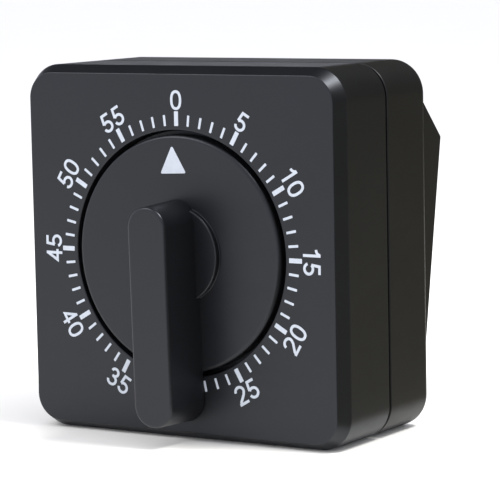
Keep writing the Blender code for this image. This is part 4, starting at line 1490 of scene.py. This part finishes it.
@dataclass
class Movement:
    """The spring movement's own metal finishes, on the frame's nodes."""

    plates: Metal = Metal((0.60, 0.60, 0.58), 0.34, Brushing.ALONG_X, 4.0)
    wheels: Metal = Metal((0.80, 0.58, 0.26), 0.30, Brushing.ALONG_X, 3.0,
                          (0.32, 0.20, 0.09), 0.3)
    turned: Metal = Metal((0.58, 0.58, 0.57), 0.26, Brushing.ALONG_DEPTH, 2.0)
    pillars: Metal = Metal((0.78, 0.58, 0.28), 0.33, Brushing.ALONG_DEPTH, 2.0,
                           (0.30, 0.20, 0.09), 0.25)
    springs: Metal = Metal((0.10, 0.13, 0.23), 0.28, Brushing.ALONG_DEPTH, 2.4,
                           (0.16, 0.09, 0.05), 0.35)

    def dress(self, nodes: dict[str, bpy.types.Object]) -> None:
        """Give each node of the movement the finish of its own kind.

        Args:
            nodes: The frame's nodes by name.
        """
        made = {"plates": self.plates.make("nickelled_plate"),
                "wheels": self.wheels.make("stamped_brass"),
                "turned": self.turned.make("turned_steel"),
                "pillars": self.pillars.make("turned_brass"),
                "springs": self.springs.make("blued_spring")}
        kinds = (("springs", ("spring",)), ("wheels", ("_wheel",)), ("pillars", ("hammer_head",)),
                 ("turned", ("screw", "arbor", "staff", "pinion", "post", "pin", "rivet")),
                 ("pillars", ("pillar",)), ("plates", ("plate", "cam", "click", "lever")))
        for name, node in sorted(nodes.items()):
            if node.hide_render:
                continue
            kind = next((k for k, words in kinds if any(w in name for w in words)), "plates")
            dress(node, made["turned" if name == "ratchet_wheel" else kind])
            LOG.info("%s: %s", name, kind)


# ------------------------------------------------------------------ studio

WARM: Colour = (1.0, 0.94, 0.68)
COOL: Colour = (0.94, 0.97, 1.0)


@dataclass(frozen=True)
class Card:
    """An upright or level card between two opposite corners, seen by reflections only."""

    name: str
    low: Vec3
    high: Vec3
    level: float
    tint: Colour

    @property
    def corners(self) -> list[Vec3]:
        """The card's corners in order.

        Returns:
            Four corners; a level card's run round in x and y, an upright one's rise in z.
        """
        (x0, y0, z0), (x1, y1, z1) = self.low, self.high
        if z0 == z1:
            return [(x0, y0, z0), (x1, y0, z0), (x1, y1, z0), (x0, y1, z0)]
        return [(x0, y0, z0), (x1, y1, z0), (x1, y1, z1), (x0, y0, z1)]


@dataclass(frozen=True)
class Lamp:
    """A square soft light aimed at the object."""

    name: str
    at: Vec3
    size: float
    watts: float


@dataclass
class Studio:
    """Pale floor, white surroundings, soft lights, cards for the gloss, and the camera."""

    eye: Vec3 = (0.2949, -0.4581, 0.1016)
    right: Vec3 = (0.8472, 0.5309, -0.0194)
    forward: Vec3 = (-0.5293, 0.8402, -0.1179)
    lens: float = 190.35
    aim: Vec3 = (0.0, 0.0, 0.04)
    surround: float = 1.04
    sky: Colour = (1.0, 1.02, 1.14)
    floor_half: float = 6.0
    floor_tones: tuple[Colour, Colour] = ((0.93, 0.915, 0.85), (0.95, 0.935, 0.87))
    cards: tuple[Card, ...] = (
        Card("card_behind", (-0.3, 0.6, 0.0), (1.2, 0.6, 1.4), 0.09, WARM),
        Card("card_left", (-1.2, 0.6, 0.22), (-0.3, 0.6, 1.4), 0.05, COOL),
        Card("card_above", (-0.9, -0.15, 0.7), (0.1, 0.6, 0.7), 0.02, COOL),
        Card("card_right", (0.45, -0.35, 0.0), (0.45, 0.6, 0.6), 0.16, WARM),
        Card("card_low", (0.043, -0.06, 0.001), (0.45, 0.6, 0.001), 0.33, WARM),
        Card("card_near", (0.043, -0.3, 0.001), (0.45, -0.06, 0.001), 0.06, WARM))
    lamps: tuple[Lamp, ...] = (Lamp("key", (-0.5, -0.5, 0.75), 0.45, 3.0),
                               Lamp("edge", (0.37, 0.04, 0.7), 0.16, 5.0))

    def camera(self) -> None:
        """Aim the camera along its direction, level as its own right side says."""
        ahead = Vector(self.forward).normalized()
        side = Vector(self.right)
        side = (side - ahead * side.dot(ahead)).normalized()
        up = side.cross(ahead)
        data = bpy.data.cameras.new("camera")
        data.lens = self.lens
        data.clip_start = 0.01
        made = bpy.data.objects.new("camera", data)
        made.matrix_world = Matrix.Translation(self.eye) @ Matrix(
            (side, up, -ahead)).transposed().to_4x4()
        bpy.context.scene.collection.objects.link(made)
        bpy.context.scene.camera = made

    def flat(self, name: str, corners: Sequence[Vec3]) -> bpy.types.Object:
        """A single four-sided face that belongs to the studio.

        Args:
            name: The object's name.
            corners: Its four corners in order.

        Returns:
            The object, without a finish.
        """
        mesh = bpy.data.meshes.new(name)
        mesh.from_pydata(list(corners), [], [(0, 1, 2, 3)])
        made = bpy.data.objects.new(name, mesh)
        bpy.context.scene.collection.objects.link(made)
        return made

    def floor(self) -> None:
        """A wide pale floor at the object's foot."""
        half = self.floor_half
        made = self.flat("floor", [(-half, -half, 0.0), (half, -half, 0.0), (half, half, 0.0),
                                   (-half, half, 0.0)])
        nodes = Nodes("pale_floor")
        tone = nodes.blend(nodes.noise(60.0, 3.0), *(rgba(tone) for tone in self.floor_tones))
        dress(made, nodes.finish(Base_Color=tone, Roughness=0.75, Specular_IOR_Level=0.2))

    def put_card(self, card: Card) -> None:
        """Stand a card where only reflections see it.

        Args:
            card: Its place, brightness and tint.
        """
        made = self.flat(card.name, card.corners)
        nodes = Nodes(card.name)
        dress(made, nodes.finish(Base_Color=(0.0, 0.0, 0.0, 1.0), Roughness=1.0,
                                 Specular_IOR_Level=0.0, Emission_Color=rgba(card.tint),
                                 Emission_Strength=card.level))
        made.visible_camera = False
        made.visible_diffuse = False
        made.visible_shadow = False
        made.visible_transmission = False

    def put_lamp(self, lamp: Lamp) -> None:
        """Hang a light and aim it at the object.

        Args:
            lamp: Its place, size and power.
        """
        data = bpy.data.lights.new(lamp.name, "AREA")
        data.shape = "SQUARE"
        data.size = lamp.size
        data.energy = lamp.watts
        made = bpy.data.objects.new(lamp.name, data)
        made.location = lamp.at
        aim = Vector(self.aim) - Vector(lamp.at)
        made.rotation_euler = aim.to_track_quat("-Z", "Y").to_euler()
        made.visible_camera = False
        bpy.context.scene.collection.objects.link(made)

    def build(self) -> None:
        """Set up floor, surroundings, cards, lights and camera."""
        self.floor()
        world = bpy.data.worlds.new("studio")
        world.use_nodes = True
        back = world.node_tree.nodes["Background"]
        back.inputs["Color"].default_value = rgba(self.sky)
        back.inputs["Strength"].default_value = self.surround
        bpy.context.scene.world = world
        for card in self.cards:
            self.put_card(card)
        for lamp in self.lamps:
            self.put_lamp(lamp)
        self.camera()
        bpy.context.scene.view_settings.view_transform = "Standard"


def main() -> None:
    """Build every sub-assembly in order, then the studio."""
    logging.basicConfig(level=logging.INFO, format="%(name)s %(message)s")
    dial = Dial.from_frame()
    front_plastic = MouldedPlastic().make("front_moulding")
    # the rear moulding gets a nearly neutral, slightly warm painted reflection tint, the front
    # and the knob a cool one
    rear_plastic = MouldedPlastic(roughness=0.44, gloss_tint=(0.98, 0.98, 0.96)).make(
        "rear_moulding")
    knob_plastic = MouldedPlastic(roughness=0.38, grain_mm=0.2).make("knob_moulding")
    ink = Ink().make("white_print")
    steel = Metal(colour=(0.55, 0.55, 0.54), roughness=0.30, brushing=Brushing.NONE,
                  line_mm=1.0).make("zinc_plated_screw")
    bell_metal = Metal(colour=(0.72, 0.71, 0.68), roughness=0.16, brushing=Brushing.NONE,
                       line_mm=6.0).make("bell_plating")

    FrontShell(dial).build(front_plastic)
    RearShell(dial).build(rear_plastic)
    for number, at in enumerate(CASE_SCREWS, 1):
        CaseScrew(dial, at).build(f"case_screw_detail_{number}", f"case_screw_{number}", steel)
    DialKnob(dial).build(knob_plastic, ink)
    PrintedScale(dial).build(ink)
    Bell(dial).build(bell_metal)
    Movement().dress(frame["nodes"])
    Studio().build()


if __name__ == "__main__":
    main()
